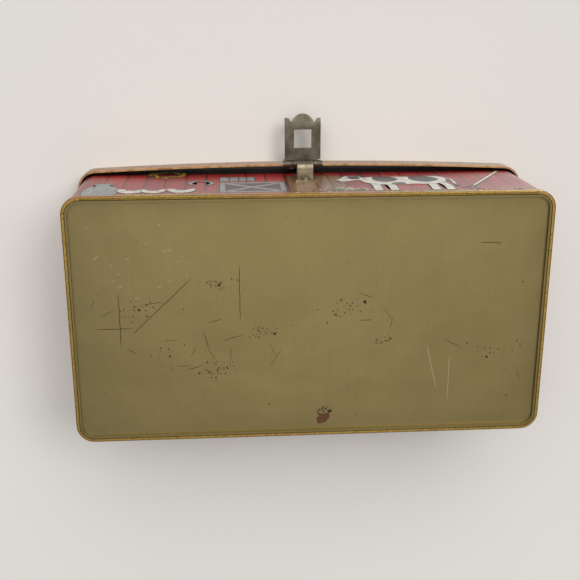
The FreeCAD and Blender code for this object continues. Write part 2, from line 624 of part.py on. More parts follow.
# ---------------------------------------------------------------- catch on the body
def make_catch():
    """A round-nosed loop of strip standing out from a plate, riveted through the front wall."""
    wall = f"(-{WALL_Y})"
    half = "catch_wide / 2"
    nose = "catch_tall / 2"
    plate_y = (f"{wall} - leaf", wall)
    plate_z = (f"{CATCH_Z} - catch_plate_tall / 2", f"{CATCH_Z} + catch_plate_tall / 2")
    plate = block("catch_plate", ("-catch_plate_wide / 2", "catch_plate_wide / 2"), plate_y, plate_z)
    nose_y = f"{wall} - catch_reach + {nose}"
    arms = block("catch_arms", (f"-{half}", half), (nose_y, f"{wall} - leaf"),
                 (f"{CATCH_Z} - {nose}", f"{CATCH_Z} + {nose}"))
    round_nose = rod("catch_nose", "x", nose, "catch_wide", (f"-{half}", nose_y, CATCH_Z))
    slot = block("catch_slot", (f"-{half} - overrun", f"{half} + overrun"), (nose_y, f"{wall} - leaf"),
                 (f"{CATCH_Z} - {nose} + leaf", f"{CATCH_Z} + {nose} - leaf"))
    slot_nose = rod("catch_slot_nose", "x", f"{nose} - leaf", "catch_wide + 2 * overrun",
                    (f"-{half} - overrun", nose_y, CATCH_Z))
    loop = cut("catch_loop", fuse("catch_loop_solid", [arms, round_nose]), [slot, slot_nose])
    inner_y = (f"{wall} + tin", f"{wall} + tin + leaf")
    backing = block("catch_backing", ("-catch_plate_wide / 2", "catch_plate_wide / 2"), inner_y, plate_z)
    plate_holes, backing_holes, rivets = [], [], []
    for x, _, z in CATCH_RIVETS:
        plate_holes.append(hole("catch_plate_hole", "y", *plate_y, (x, "0", z)))
        backing_holes.append(hole("catch_backing_hole", "y", *inner_y, (x, "0", z)))
        rivets.append(rivet("catch_rivet", "y", plate_y[0], inner_y[1], (x, "0", z)))
    staple = cut("catch_staple", fuse("catch_whole", [plate, loop]), plate_holes)
    return [staple, cut("catch_backing_plate", backing, backing_holes), group("catch_rivets", rivets)]


# ---------------------------------------------------------------- folding handle
LEG_X = "(handle_span / 2)"


def quarter_bend(name, radius, x, y, turn):
    """A quarter ring of wire lying flat at the pivot's height, starting at an angle from +X."""
    bend = doc.addObject("Part::Torus", name)
    bend.Placement = FreeCAD.Placement(Vector(), Rotation(Vector(0, 0, 1), turn))
    bend.Angle3 = 90
    bind(bend, "Radius1", radius)
    bind(bend, "Radius2", "wire_radius")
    for axis, place in zip("xyz", (x, y, PIVOT_Z)):
        bind(bend, f"Placement.Base.{axis}", place)
    return bend


def make_bail():
    """A U of round wire with its ends turned in as pivots, folded flat towards the back."""
    parts = []
    for side, sign in SIDES:
        leg = f"{sign} * {LEG_X}"
        pin_low = f"{leg} + wire_bend" if sign < 0 else f"{leg} - pivot_pin"
        start = (pin_low, "0", PIVOT_Z)
        parts.append(rod("bail_pivot", "x", "wire_radius", "pivot_pin - wire_bend", start))
        parts.append(rod("bail_leg", "y", "wire_radius", "handle_reach - wire_bend - grip_bend",
                         (leg, "wire_bend", PIVOT_Z)))
        inner = f"{leg} - {sign} * wire_bend"
        turn = 180 if sign < 0 else 270
        parts.append(quarter_bend("bail_foot", "wire_bend", inner, "wire_bend", turn))
        inner = f"{leg} - {sign} * grip_bend"
        parts.append(quarter_bend("bail_shoulder", "grip_bend", inner, "handle_reach - grip_bend",
                                  90 if sign < 0 else 0))
    parts.append(rod("bail_bar", "x", "wire_radius", f"2 * ({LEG_X} - grip_bend)",
                     (f"-{LEG_X} + grip_bend", "handle_reach", PIVOT_Z)))
    return fuse("handle_bail", parts)


def make_grip():
    """A moulded barrel on the bail's bar, thickest in the middle, with round ends."""
    body = new_body("handle_grip")
    bind(body, "Placement.Base.y", "handle_reach")
    bind(body, "Placement.Base.z", PIVOT_Z)
    sketch = new_sketch(body, "grip_profile")
    half = size_of("handle_span") / 2 - size_of("grip_bend") - size_of("grip_end_gap")
    middle = size_of("grip_radius")
    end, bore = size_of("grip_end_radius"), size_of("wire_radius")
    points = {"bore_left": Vector(-half, bore, 0), "bore_right": Vector(half, bore, 0),
              "end_right": Vector(half, end, 0), "end_left": Vector(-half, end, 0)}
    inside = sketch.addGeometry(Part.LineSegment(points["bore_left"], points["bore_right"]), False)
    right = sketch.addGeometry(Part.LineSegment(points["bore_right"], points["end_right"]), False)
    bulge = Part.Arc(points["end_right"], Vector(0, middle, 0), points["end_left"])
    crown = sketch.addGeometry(bulge, False)
    left = sketch.addGeometry(Part.LineSegment(points["end_left"], points["bore_left"]), False)
    arc_right = 1 if sketch.Geometry[crown].StartPoint.x > 0 else 2
    joins = [(inside, 2, right, 1), (right, 2, crown, arc_right), (crown, 3 - arc_right, left, 1),
             (left, 2, inside, 1)]
    for join in joins:
        sketch.addConstraint(Sketcher.Constraint("Coincident", *join))
    sketch.addConstraint(Sketcher.Constraint("Vertical", right))
    sketch.addConstraint(Sketcher.Constraint("Vertical", left))
    sketch.addConstraint(Sketcher.Constraint("Symmetric", inside, 1, inside, 2, -2))
    top = sketch.addGeometry(Part.Point(Vector(0, middle, 0)), True)
    sketch.addConstraint(Sketcher.Constraint("PointOnObject", top, 1, crown))
    sketch.addConstraint(Sketcher.Constraint("PointOnObject", top, 1, -2))
    sketch.addConstraint(Sketcher.Constraint("Horizontal", crown, 1, crown, 2))
    long = Sketcher.Constraint("DistanceX", inside, 1, inside, 2, 2 * half)
    name_size(sketch, "long", long, "handle_span - 2 * (grip_bend + grip_end_gap)")
    name_size(sketch, "bore", Sketcher.Constraint("DistanceY", -1, 1, inside, 1, bore), "wire_radius")
    name_size(sketch, "end", Sketcher.Constraint("DistanceY", -1, 1, right, 2, end), "grip_end_radius")
    name_size(sketch, "middle", Sketcher.Constraint("DistanceY", -1, 1, top, 1, middle), "grip_radius")
    barrel = body.newObject("PartDesign::Revolution", "grip_barrel")
    barrel.Profile = sketch
    barrel.ReferenceAxis = (sketch, ["H_Axis"])
    barrel.Angle = 360
    doc.recompute()
    faces = [f"Edge{index}" for index, edge in enumerate(barrel.Shape.Edges, start=1)
             if hasattr(edge.Curve, "Radius") and abs(edge.Curve.Radius - end) < TINY]
    rounding = body.newObject("PartDesign::Fillet", "grip_ends")
    rounding.Base = (barrel, faces)
    bind(rounding, "Radius", "grip_round")
    return body


def make_handle_mounts():
    """Two riveted feet with a barrel for the bail's ends, and a backing plate under each."""
    nodes, rivets = [], []
    for side, sign in SIDES:
        name = f"handle_bracket_{side}"
        near = f"({sign} * ({LEG_X} - barrel_from_leg))"
        far = f"({sign} * ({LEG_X} - barrel_from_leg - barrel_long))"
        low, high = (near, far) if sign < 0 else (far, near)
        centre_x = foot_spot(sign, 1)[0]
        foot_x = (f"{centre_x} - foot_wide / 2", f"{centre_x} + foot_wide / 2")
        foot_y = ("-foot_long / 2", "foot_long / 2")
        foot_z = (LID_TOP, f"{LID_TOP} + leaf")
        under_z = (f"{LID_UNDER} - leaf", LID_UNDER)
        parts = [block(name + "_foot", foot_x, foot_y, foot_z)]
        web_y = ("-web_thick / 2", "web_thick / 2")
        parts.append(block(name + "_web", (low, high), web_y, (LID_TOP, PIVOT_Z)))
        parts.append(rod(name + "_barrel", "x", "barrel_radius", f"{high} - {low}", (low, "0", PIVOT_Z)))
        tools = [rod(name + "_bore", "x", "wire_radius + pin_fit", "barrel_long + 2 * overrun",
                     (f"{low} - overrun", "0", PIVOT_Z))]
        backing = block(f"handle_backing_{side}", foot_x, foot_y, under_z)
        backing_holes = []
        for step in (-1, 1):
            spot = foot_spot(sign, step)
            tools.append(hole(name + "_hole", "z", *foot_z, spot))
            backing_holes.append(hole(name + "_backing_hole", "z", *under_z, spot))
            rivets.append(rivet("handle_rivet", "z", under_z[0], foot_z[1], spot))
        nodes.append(cut(name, fuse(name + "_whole", parts), tools))
        nodes.append(cut(f"handle_backing_plate_{side}", backing, backing_holes))
    nodes.append(group("handle_rivets", rivets))
    return nodes


# ---------------------------------------------------------------- build, check and write
nodes = [make_body_shell(), make_bottom_panel(), make_lid_shell()]
nodes += make_hinges()
nodes += make_hasp()
nodes += make_catch()
nodes += [make_bail(), make_grip()]
nodes += make_handle_mounts()
doc.recompute()

for item in doc.Objects:
    if "Invalid" in item.State or "Error" in item.State:
        raise RuntimeError(f"{item.Label} did not build: {item.State} {item.getStatusString()}")
for node in nodes:
    if node.Shape.isNull() or not node.Shape.isValid():
        raise RuntimeError(f"{node.Label} has no valid shape")

os.makedirs("parts", exist_ok=True)
for node in nodes:
    node.Shape.exportStep(f"parts/{node.Label}.step")
    box = node.Shape.BoundBox
    print(f"{node.Label:28s} solids {len(node.Shape.Solids)} volume {node.Shape.Volume:9.1f}",
          f"x {box.XMin:.1f}..{box.XMax:.1f} y {box.YMin:.1f}..{box.YMax:.1f}",
          f"z {box.ZMin:.1f}..{box.ZMax:.1f}")
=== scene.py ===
"""Looks of a vintage printed-tin lunch box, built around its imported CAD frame.

The box is seen lying on its lid, from below. Lengths here are millimetres, and turn into
metres where they meet Blender. Wall prints are drawn as (along the wall, height).
"""

import math
import random

import bmesh
import bpy
from mathutils import Matrix, Vector


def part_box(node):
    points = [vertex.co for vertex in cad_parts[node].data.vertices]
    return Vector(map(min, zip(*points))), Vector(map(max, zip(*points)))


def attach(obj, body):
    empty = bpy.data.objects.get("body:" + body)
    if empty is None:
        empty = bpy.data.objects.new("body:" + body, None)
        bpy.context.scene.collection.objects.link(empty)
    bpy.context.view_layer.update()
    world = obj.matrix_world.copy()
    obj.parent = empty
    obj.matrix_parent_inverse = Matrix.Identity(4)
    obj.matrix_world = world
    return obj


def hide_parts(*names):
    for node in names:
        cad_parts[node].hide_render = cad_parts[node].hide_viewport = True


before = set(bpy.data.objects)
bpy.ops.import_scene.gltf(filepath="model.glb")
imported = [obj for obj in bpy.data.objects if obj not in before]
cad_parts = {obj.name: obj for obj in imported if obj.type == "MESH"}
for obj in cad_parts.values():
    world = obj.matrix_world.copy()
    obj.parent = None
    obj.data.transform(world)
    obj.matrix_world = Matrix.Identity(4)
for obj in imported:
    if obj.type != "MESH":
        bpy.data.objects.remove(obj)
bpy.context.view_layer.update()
MM = 0.001

# ---------------------------------------------------------------- places read from the frame


def span(node):
    """Lowest and highest corner of a CAD node, in millimetres."""
    low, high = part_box(node)
    return Vector(low) / MM, Vector(high) / MM


BODY_LOW, BODY_HIGH = span("body_shell")
LID_LOW, LID_HIGH = span("lid_shell")
GRIP_LOW, GRIP_HIGH = span("handle_grip")
RIM_PROUD = 0.8          # the bottom rim stands out from the walls by this
RIM_HEIGHT = 3.2
RIM_CORNER = 7.5
LID_CORNER = 7.9
LID_ROUND = 2.6          # rounding of the lid's top edge
PANEL_FACE = 1.6         # height of the bottom panel's outer face
WALL_HALF_LONG = BODY_HIGH.x - RIM_PROUD
WALL_HALF_DEEP = BODY_HIGH.y - RIM_PROUD


# ---------------------------------------------------------------- colours and node graphs


def srgb(red, green, blue):
    """Linear colour from 0-255 display values."""
    def linear(value):
        value /= 255
        return value / 12.92 if value <= 0.04045 else ((value + 0.055) / 1.055) ** 2.4
    return (linear(red), linear(green), linear(blue), 1.0)


class Nodes:
    """A node tree, emptied, with a short way to add nodes to it."""

    def __init__(self, owner):
        owner.use_nodes = True
        self.tree = owner.node_tree
        self.tree.nodes.clear()

    def node(self, kind, inputs=(), **settings):
        """A new node. The inputs are constants or outputs, in order or by name or number."""
        made = self.tree.nodes.new(kind)
        for key, value in settings.items():
            setattr(made, key, value)
        pairs = inputs.items() if isinstance(inputs, dict) else enumerate(inputs)
        for key, value in pairs:
            self.feed(made.inputs[key], value)
        return made

    def feed(self, socket, value):
        """Links a socket to an output, or sets it to a constant."""
        if isinstance(value, bpy.types.NodeSocket):
            self.tree.links.new(value, socket)
        else:
            socket.default_value = value

    def maths(self, operation, *values):
        return self.node("ShaderNodeMath", values, operation=operation).outputs[0]


class Graph(Nodes):
    """One node material. Its positions are the object's own, in millimetres."""

    def __init__(self, name):
        self.material = bpy.data.materials.new(name)
        super().__init__(self.material)
        self.shader = self.node("ShaderNodeBsdfPrincipled")
        self.node("ShaderNodeOutputMaterial", {"Surface": self.shader.outputs[0]})
        source = self.node("ShaderNodeTexCoord")
        self.normal = source.outputs["Normal"]
        metres = {"Vector": source.outputs["Object"], "Scale": 1 / MM}
        self.place = self.node("ShaderNodeVectorMath", metres, operation="SCALE").outputs[0]
        self.x, self.y, self.z = self.split(self.place)

    def plus(self, first, second):
        return self.maths("ADD", first, second)

    def minus(self, first, second):
        return self.maths("SUBTRACT", first, second)

    def times(self, first, second):
        return self.maths("MULTIPLY", first, second)

    def vector(self, operation, *values):
        made = self.node("ShaderNodeVectorMath", values, operation=operation)
        return made.outputs["Value" if operation == "DOT_PRODUCT" else "Vector"]

    def split(self, vector):
        return self.node("ShaderNodeSeparateXYZ", [vector]).outputs

    def join(self, *parts):
        return self.node("ShaderNodeCombineXYZ", parts).outputs[0]

    def step(self, value, low, high):
        """0 below low, 1 above high and smooth between; it falls when high is the lower."""
        ends = (1.0, 0.0) if low > high else (0.0, 1.0)
        inputs = (value, min(low, high), max(low, high), *ends)
        return self.node("ShaderNodeMapRange", inputs, interpolation_type="SMOOTHSTEP").outputs[0]

    def within(self, value, low, high, soft):
        """1 between low and high, with soft ends."""
        rising = self.step(value, low - soft, low + soft)
        falling = self.step(value, high + soft, high - soft)
        return self.times(rising, falling)

    def noise(self, grain, stretch=(1, 1, 1), detail=4.0, place=None):
        """Cloudy noise whose blobs are about grain millimetres wide, times stretch."""
        size = tuple(1 / (grain * factor) for factor in stretch)
        spread = self.vector("MULTIPLY", place or self.place, size)
        inputs = {"Vector": spread, "W": 0.0, "Scale": 1.0, "Detail": detail, "Roughness": 0.55}
        return self.node("ShaderNodeTexNoise", inputs, noise_dimensions="4D").outputs["Fac"]

    def cells(self, grain):
        """Distance from the middles of cells about grain millimetres wide, in cells."""
        spread = self.vector("MULTIPLY", self.place, (1 / grain,) * 3)
        inputs = {"Vector": spread, "Scale": 1.0}
        return self.node("ShaderNodeTexVoronoi", inputs).outputs["Distance"]

    def chance(self, value):
        """A steady random number for each value."""
        made = self.node("ShaderNodeTexWhiteNoise", {"W": value}, noise_dimensions="1D")
        return made.outputs["Value"]

    def mix(self, factor, first, second):
        inputs = {0: factor, 6: first, 7: second}
        return self.node("ShaderNodeMix", inputs, data_type="RGBA").outputs[2]

    def level(self, factor, low, high):
        """A number that goes from low to high with the factor."""
        return self.node("ShaderNodeMapRange", {0: factor, 3: low, 4: high}).outputs[0]

    def tint(self, colour, factor, most, other):
        """The colour with up to a share of the other one mixed in, where the factor is high."""
        return self.mix(self.level(factor, 0.0, most), colour, other)

    def specks(self, grain, size, share, spread):
        """Small dark flecks: some of the cells hold one, and more where the noise is high."""
        near = self.step(self.cells(grain), size, size * 0.55)
        crowd = self.step(self.noise(spread, detail=2.0), 1 - share, 1 - share + 0.08)
        return self.times(near, crowd)

    def bump(self, height, depth):
        """Surface relief, depth in millimetres."""
        inputs = {"Strength": 1.0, "Distance": depth * MM, "Height": height}
        self.feed(self.shader.inputs["Normal"], self.node("ShaderNodeBump", inputs).outputs[0])

    def finish(self, colour, roughness, metallic=0.0, coat=0.0, coat_roughness=0.1):
        values = {"Base Color": colour, "Roughness": roughness, "Metallic": metallic,
                  "Coat Weight": coat, "Coat Roughness": coat_roughness}
        for name, value in values.items():
            self.feed(self.shader.inputs[name], value)
        return self.material


# ---------------------------------------------------------------- materials


def lacquer_colour(graph):
    """Aged gold lacquer over rolled tinplate: cloudy, with faint rolling lines and flecks."""
    cloud = graph.noise(38, detail=3.0)
    streak = graph.noise(1.6, stretch=(1, 26, 26), detail=2.0)
    fine = graph.noise(0.7, detail=2.0)
    colour = graph.mix(cloud, srgb(142, 125, 76), srgb(168, 150, 98))
    colour = graph.tint(colour, streak, 0.34, srgb(124, 110, 66))
    colour = graph.tint(colour, fine, 0.16, srgb(186, 170, 124))
    flecks = graph.specks(3.1, 0.16, 0.40, 24)
    return graph.mix(flecks, colour, srgb(52, 42, 22))


def inside_rim(graph):
    """Distance in from the bottom rim's outer face, which is a rounded rectangle."""
    reach = graph.vector("ABSOLUTE", graph.place)
    corner = (BODY_HIGH.x - RIM_CORNER, BODY_HIGH.y - RIM_CORNER, 0.0)
    past_x, past_y, _ = graph.split(graph.vector("SUBTRACT", reach, corner))
    out_x = graph.maths("MAXIMUM", past_x, 0.0)
    out_y = graph.maths("MAXIMUM", past_y, 0.0)
    squares = graph.times(out_x, out_x), graph.times(out_y, out_y)
    outside = graph.maths("SQRT", graph.plus(*squares))
    within = graph.maths("MINIMUM", graph.maths("MAXIMUM", past_x, past_y), 0.0)
    return graph.minus(RIM_CORNER, graph.plus(outside, within))


def gold_lacquer():
    """Bottom panel: satin lacquer, with painted shade darkening it towards the raised rim and a painted
    shadow line just inside it.
    """
    graph = Graph("gold_lacquer_aged")
    colour = lacquer_colour(graph)
    inward = inside_rim(graph)
    ragged = graph.plus(inward, graph.times(graph.noise(2.5), -0.8))
    # painted shade: the panel darkens within about 14 mm of the raised rim
    colour = graph.tint(colour, graph.step(inward, 14.0, 2.0), 0.14, srgb(92, 80, 46))
    # painted shadow: a dark ragged line just inside the rim, where the rim's shadow falls on the
    # recessed panel
    colour = graph.tint(colour, graph.step(ragged, 1.7, 0.9), 0.6, srgb(58, 46, 22))
    rubbed_end = graph.step(graph.x, -45.0, -92.0)
    rubbed = graph.times(rubbed_end, graph.step(graph.noise(3, detail=6.0), 0.42, 0.62))
    colour = graph.tint(colour, rubbed, 0.28, srgb(142, 134, 100))
    pale_nicks = graph.specks(1.5, 0.15, 0.45, 16)
    colour = graph.mix(graph.times(pale_nicks, rubbed_end), colour, srgb(206, 198, 164))
    haze = graph.noise(9, detail=5.0)
    roughness = graph.level(haze, 0.36, 0.46)
    graph.bump(graph.noise(22, detail=2.0), 0.35)
    return graph.finish(colour, roughness, 0.72, coat=0.18, coat_roughness=0.32)


def facing_out(graph, centre, half):
    """1 on the outer faces of a shell round a centre, 0 on its inner faces."""
    spread = graph.vector("SUBTRACT", graph.place, tuple(centre))
    share = graph.vector("DIVIDE", spread, tuple(half))
    return graph.step(graph.vector("DOT_PRODUCT", share, graph.normal), -0.06, 0.06)


def along_wall(graph):
    """Position along a wall: X on the front and back, Y on the ends."""
    across, deep, _ = graph.split(graph.vector("ABSOLUTE", graph.normal))
    on_end = graph.step(graph.minus(across, deep), -0.02, 0.02)
    part_end = graph.times(graph.y, on_end)
    part_long = graph.times(graph.x, graph.minus(1.0, on_end))
    return graph.plus(part_end, part_long)


def boards(graph, along, wide, light, dark, seam, gap=0.035):
    """Painted upright boards, each a little different, with grain and dark seams."""
    count = graph.maths("DIVIDE", along, wide)
    index = graph.maths("FLOOR", count)
    inside = graph.maths("FRACT", count)
    tone = graph.chance(index)
    grain_place = graph.join(along, graph.times(index, 17.0), graph.z)
    grain = graph.noise(0.9, stretch=(1, 1, 22), detail=3.0, place=grain_place)
    colour = graph.mix(graph.times(tone, 0.75), light, dark)
    colour = graph.mix(graph.step(grain, 0.46, 0.74), colour, dark)
    edge = graph.maths("MINIMUM", inside, graph.minus(1.0, inside))
    return graph.mix(graph.step(edge, gap * 1.6, gap), colour, seam)


def straw(graph, along):
    """Loose straw: short slanting stalks in golds and browns."""
    lean = graph.times(graph.z, 0.8)
    first = graph.join(graph.plus(along, lean), 0.0, graph.z)
    other = graph.join(graph.minus(along, lean), 9.0, graph.z)
    stalks = graph.noise(0.55, stretch=(1, 1, 7), detail=2.0, place=first)
    crossing = graph.noise(0.6, stretch=(1, 1, 6), detail=2.0, place=other)
    colour = graph.mix(graph.step(stalks, 0.38, 0.62), srgb(112, 82, 22), srgb(205, 164, 42))
    colour = graph.mix(graph.step(crossing, 0.56, 0.66), colour, srgb(240, 214, 98))
    return graph.mix(graph.step(crossing, 0.42, 0.34), colour, srgb(66, 44, 14))


WALL_BOARD, FASCIA_BOARD = 8.6, 34.0     # widths of the printed boards
SKIRT_SHADE_AND_TARNISH = srgb(20, 13, 10)             # painted shade under the lid's skirt, and the dark tarnish of the lid's lining
STRAW_STRETCHES = [(-75, -40), (-10, 10), (30, 95)]      # straw lies along these parts of the foot


def printed_tin():
    """Body: board wall print outside, straw along the foot and lacquer inside."""
    graph = Graph("printed_tin_barn")
    centre = (BODY_LOW + BODY_HIGH) / 2
    outside = facing_out(graph, centre, BODY_HIGH - centre)
    along = along_wall(graph)
    wall = boards(graph, along, WALL_BOARD, srgb(176, 44, 40), srgb(128, 26, 30), srgb(74, 18, 20))
    # painted reflection: the lower wall is hazed pinkish grey, as glossy varnish reflecting pale
    # surroundings at a grazing angle
    low_painted_haze = graph.step(graph.plus(graph.z, graph.noise(6)), 26.0, 6.0)
    wall = graph.mix(graph.times(low_painted_haze, 0.5), wall, srgb(160, 108, 92))
    ragged = graph.noise(1.5, stretch=(1, 1, 6), detail=3.0)
    ground = graph.minus(graph.z, graph.times(ragged, 7.0))
    path = graph.mix(graph.noise(5, detail=4.0), srgb(196, 146, 80), srgb(156, 104, 58))
    covers = [graph.within(along, low, high, 2.0) for low, high in STRAW_STRETCHES]
    heap = graph.maths("MAXIMUM", graph.maths("MAXIMUM", covers[0], covers[1]), covers[2])
    foot = graph.mix(heap, path, straw(graph, along))
    wall = graph.mix(graph.step(ground, 2.6, 1.2), wall, foot)
    # painted shade: the wall darkens to near black where the lid's skirt covers it
    wall_skirt_shade = graph.step(graph.z, LID_LOW.z - 1.2, LID_LOW.z + 0.6)
    wall = graph.tint(wall, wall_skirt_shade, 0.92, SKIRT_SHADE_AND_TARNISH)
    inward = inside_rim(graph)
    worn = graph.noise(1.1, stretch=(1, 1, 0.6), detail=6.0)
    edge_tone = graph.mix(graph.step(worn, 0.40, 0.60), srgb(84, 58, 28), srgb(150, 112, 48))
    # painted highlight: a bright gold line along the rim's ridge, patchy with the wear noise
    rim_ridge_highlight = graph.mix(graph.step(worn, 0.34, 0.52), srgb(138, 104, 44), srgb(206, 172, 84))
    rim_tone = graph.mix(graph.step(inward, 0.35, 0.6), edge_tone, rim_ridge_highlight)
    rim_tone = graph.mix(0.45, rim_tone, foot)
    # painted shade: a dark groove line on the rim's inner edge, where it meets the panel
    rim_tone = graph.mix(graph.step(inward, 1.25, 1.5), rim_tone, srgb(52, 40, 20))
    rim_print = graph.mix(graph.step(graph.z, 1.0, 1.6), rim_tone, foot)
    wall = graph.mix(graph.step(graph.z, RIM_HEIGHT + 0.2, RIM_HEIGHT - 0.1), wall, rim_print)
    nicks = graph.specks(2.2, 0.13, 0.34, 18)
    wall = graph.mix(nicks, wall, srgb(72, 56, 44))
    colour = graph.mix(outside, lacquer_colour(graph), wall)
    on_rim = graph.step(graph.z, 2.0, 1.2)
    inside = graph.minus(1.0, outside)
    bare = graph.maths("MAXIMUM", on_rim, inside)
    scuff = graph.noise(7, detail=5.0)
    roughness = graph.level(scuff, 0.22, 0.46)
    graph.bump(graph.noise(26, detail=2.0), 0.25)
    metal = graph.times(bare, 0.75)
    return graph.finish(colour, roughness, metal, coat=0.35, coat_roughness=0.16)


SHINGLE_WIDE, SHINGLE_TALL = 10.0, 8.0


def printed_lid():
    """Lid: shingled roof print on top, wooden fascia round the skirt, lacquer inside, darkened inside
    the skirt by tarnish and painted shade.
    """
    graph = Graph("printed_lid_roof")
    centre = Vector((0, (LID_LOW.y + LID_HIGH.y) / 2, LID_LOW.z + 2.0))
    outside = facing_out(graph, centre, LID_HIGH - centre)
    shingle = graph.node("ShaderNodeTexBrick", {
        "Vector": graph.place, "Scale": 1.0, "Mortar Size": 0.35, "Mortar Smooth": 0.3,
        "Color1": srgb(132, 42, 36), "Color2": srgb(96, 34, 32), "Mortar": srgb(36, 16, 16),
        "Brick Width": SHINGLE_WIDE, "Row Height": SHINGLE_TALL}, offset=0.5, squash=1.0)
    grain = graph.noise(0.9, stretch=(1, 14, 1), detail=3.0)
    roof = graph.mix(graph.step(grain, 0.42, 0.7), shingle.outputs["Color"], srgb(70, 26, 26))
    course = graph.maths("FRACT", graph.maths("DIVIDE", graph.y, SHINGLE_TALL))
    roof = graph.tint(roof, course, 0.55, srgb(52, 18, 20))
    moss = graph.step(graph.noise(16, detail=5.0), 0.60, 0.72)
    roof = graph.mix(graph.times(moss, 0.35), roof, srgb(150, 112, 70))
    along = along_wall(graph)
    fascia = boards(graph, along, FASCIA_BOARD, srgb(170, 124, 78), srgb(136, 94, 56),
                    srgb(96, 62, 36), gap=0.006)
    drop = graph.minus(LID_HIGH.z - LID_ROUND, graph.z)
    colour = graph.mix(graph.step(drop, -0.3, 0.3), roof, fascia)
    above_edge = graph.minus(graph.z, LID_LOW.z)
    worn = graph.noise(4, detail=4.0)
    edge = graph.mix(graph.step(worn, 0.35, 0.62), srgb(150, 108, 60), srgb(206, 160, 104))
    colour = graph.mix(graph.step(above_edge, 1.4, 1.0), colour, edge)
    rub = graph.step(graph.noise(1.2, detail=5.0), 0.60, 0.70)
    on_fold = graph.within(drop, -1.6, 0.6, 0.6)
    colour = graph.mix(graph.times(rub, on_fold), colour, srgb(176, 160, 132))
    # the lining darkens to near black inside the skirt and beside its mouth: partly tarnish, partly
    # painted shade
    beside_mouth = graph.step(inside_rim(graph), 2.2, 1.2)
    in_skirt = graph.maths("MAXIMUM", graph.step(drop, 1.0, 4.0), beside_mouth)
    lining = graph.tint(lacquer_colour(graph), in_skirt, 0.94, SKIRT_SHADE_AND_TARNISH)
    colour = graph.mix(outside, lining, colour)
    colour = graph.mix(graph.specks(2.4, 0.13, 0.36, 20), colour, srgb(64, 50, 40))
    scuff = graph.noise(8, detail=5.0)
    graph.bump(graph.noise(28, detail=2.0), 0.25)
    bright = graph.minus(1.0, graph.maths("MAXIMUM", outside, in_skirt))
    metal = graph.times(bright, 0.7)
    return graph.finish(colour, graph.level(scuff, 0.24, 0.46), metal, coat=0.35, coat_roughness=0.16)


def steel(name, dark, light, rust, brushed, low, high):
    """Brushed plated steel, with tarnish clouds and rust freckles."""
    graph = Graph(name)
    lines = graph.noise(0.22, stretch=brushed, detail=3.0)
    cloud = graph.noise(5, detail=5.0)
    colour = graph.mix(graph.step(cloud, 0.3, 0.7), dark, light)
    colour = graph.tint(colour, lines, 0.5, dark)
    freckles = graph.step(graph.noise(1.3, detail=6.0), 0.62, 0.70)
    colour = graph.mix(graph.times(freckles, 0.5), colour, rust)
    graph.bump(lines, 0.03)
    return graph.finish(colour, graph.level(lines, low, high), 0.9)


def grip_plastic():
    """Moulded plastic gone slightly dull, with a fine moulded grain."""
    graph = Graph("grip_plastic_moulded")
    tone = graph.noise(12, detail=3.0)
    colour = graph.mix(tone, srgb(132, 24, 26), srgb(160, 34, 32))
    grime = graph.step(graph.noise(2.0, detail=5.0), 0.58, 0.72)
    colour = graph.mix(graph.times(grime, 0.35), colour, srgb(70, 20, 20))
    graph.bump(graph.noise(0.5, detail=3.0), 0.05)
    return graph.finish(colour, graph.level(tone, 0.32, 0.48), coat=0.1, coat_roughness=0.3)


def ink(name, first, second, grain=3.0, stretch=(1, 1, 1)):
    """Lithographed ink: two tones that drift into each other, under varnish."""
    graph = Graph(name)
    drift = graph.noise(grain, stretch=stretch, detail=4.0)
    colour = graph.mix(graph.step(drift, 0.36, 0.64), first, second)
    colour = graph.mix(graph.specks(2.2, 0.12, 0.34, 18), colour, srgb(72, 56, 44))
    roughness = graph.level(graph.noise(7, detail=5.0), 0.22, 0.46)
    return graph.finish(colour, roughness, coat=0.35, coat_roughness=0.16)


def bare_metal(name, first, second, roughness, metallic):
    """What shows where the lacquer has gone."""
    graph = Graph(name)
    drift = graph.noise(0.8, detail=4.0)
    colour = graph.mix(drift, first, second)
    return graph.finish(colour, roughness, metallic)


NODE_MATERIALS = {
    "printed_tin": printed_tin(),
    "printed_lid": printed_lid(),
    "gold_lacquer": gold_lacquer(),
    "hasp_steel": steel("hasp_steel_brushed", srgb(84, 77, 66), srgb(128, 120, 106),
                        srgb(92, 58, 36), (1, 60, 60), 0.34, 0.52),
    "nickel_plate": steel("nickel_plate_worn", srgb(120, 106, 84), srgb(196, 186, 164),
                          srgb(120, 76, 44), (1, 1, 40), 0.20, 0.40),
    "grip_plastic": grip_plastic(),
}
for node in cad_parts.values():
    for place in node.material_slots:
        slot_name = place.material.name.split(".")[0]
        place.material = NODE_MATERIALS[slot_name]

# ---------------------------------------------------------------- flat prints and wear marks


LAYER = 0.0006           # what lies over something else stands this much higher
SUNK = 0.02              # plates reach this far into the face they lie on
INK_LIFT, SCRATCH_LIFT, CHIP_LIFT, RUST_LIFT = 0.02, 0.03, 0.04, 0.05


def on_panel(u, v, lift):
    """A point on the bottom panel's outer face, which faces down."""
    return Vector((u, v, PANEL_FACE - lift))


def on_front(u, v, lift):
    return Vector((u, -WALL_HALF_DEEP - lift, v))


def on_back(u, v, lift):
    return Vector((-u, WALL_HALF_DEEP + lift, v))


def on_right(u, v, lift):
    return Vector((WALL_HALF_LONG + lift, u, v))


def on_left(u, v, lift):
    return Vector((-WALL_HALF_LONG - lift, -u, v))


def plates(name, outlines, face, lift, material):
    """One piece of thin closed plates, one for each flat outline, sunk a little into a face.

    Each plate stands a hair higher than the one before, so that no two faces coincide.
    """
    heights = [lift + LAYER * index for index in range(len(outlines))]
    layered(name, zip(outlines, heights), face, material)


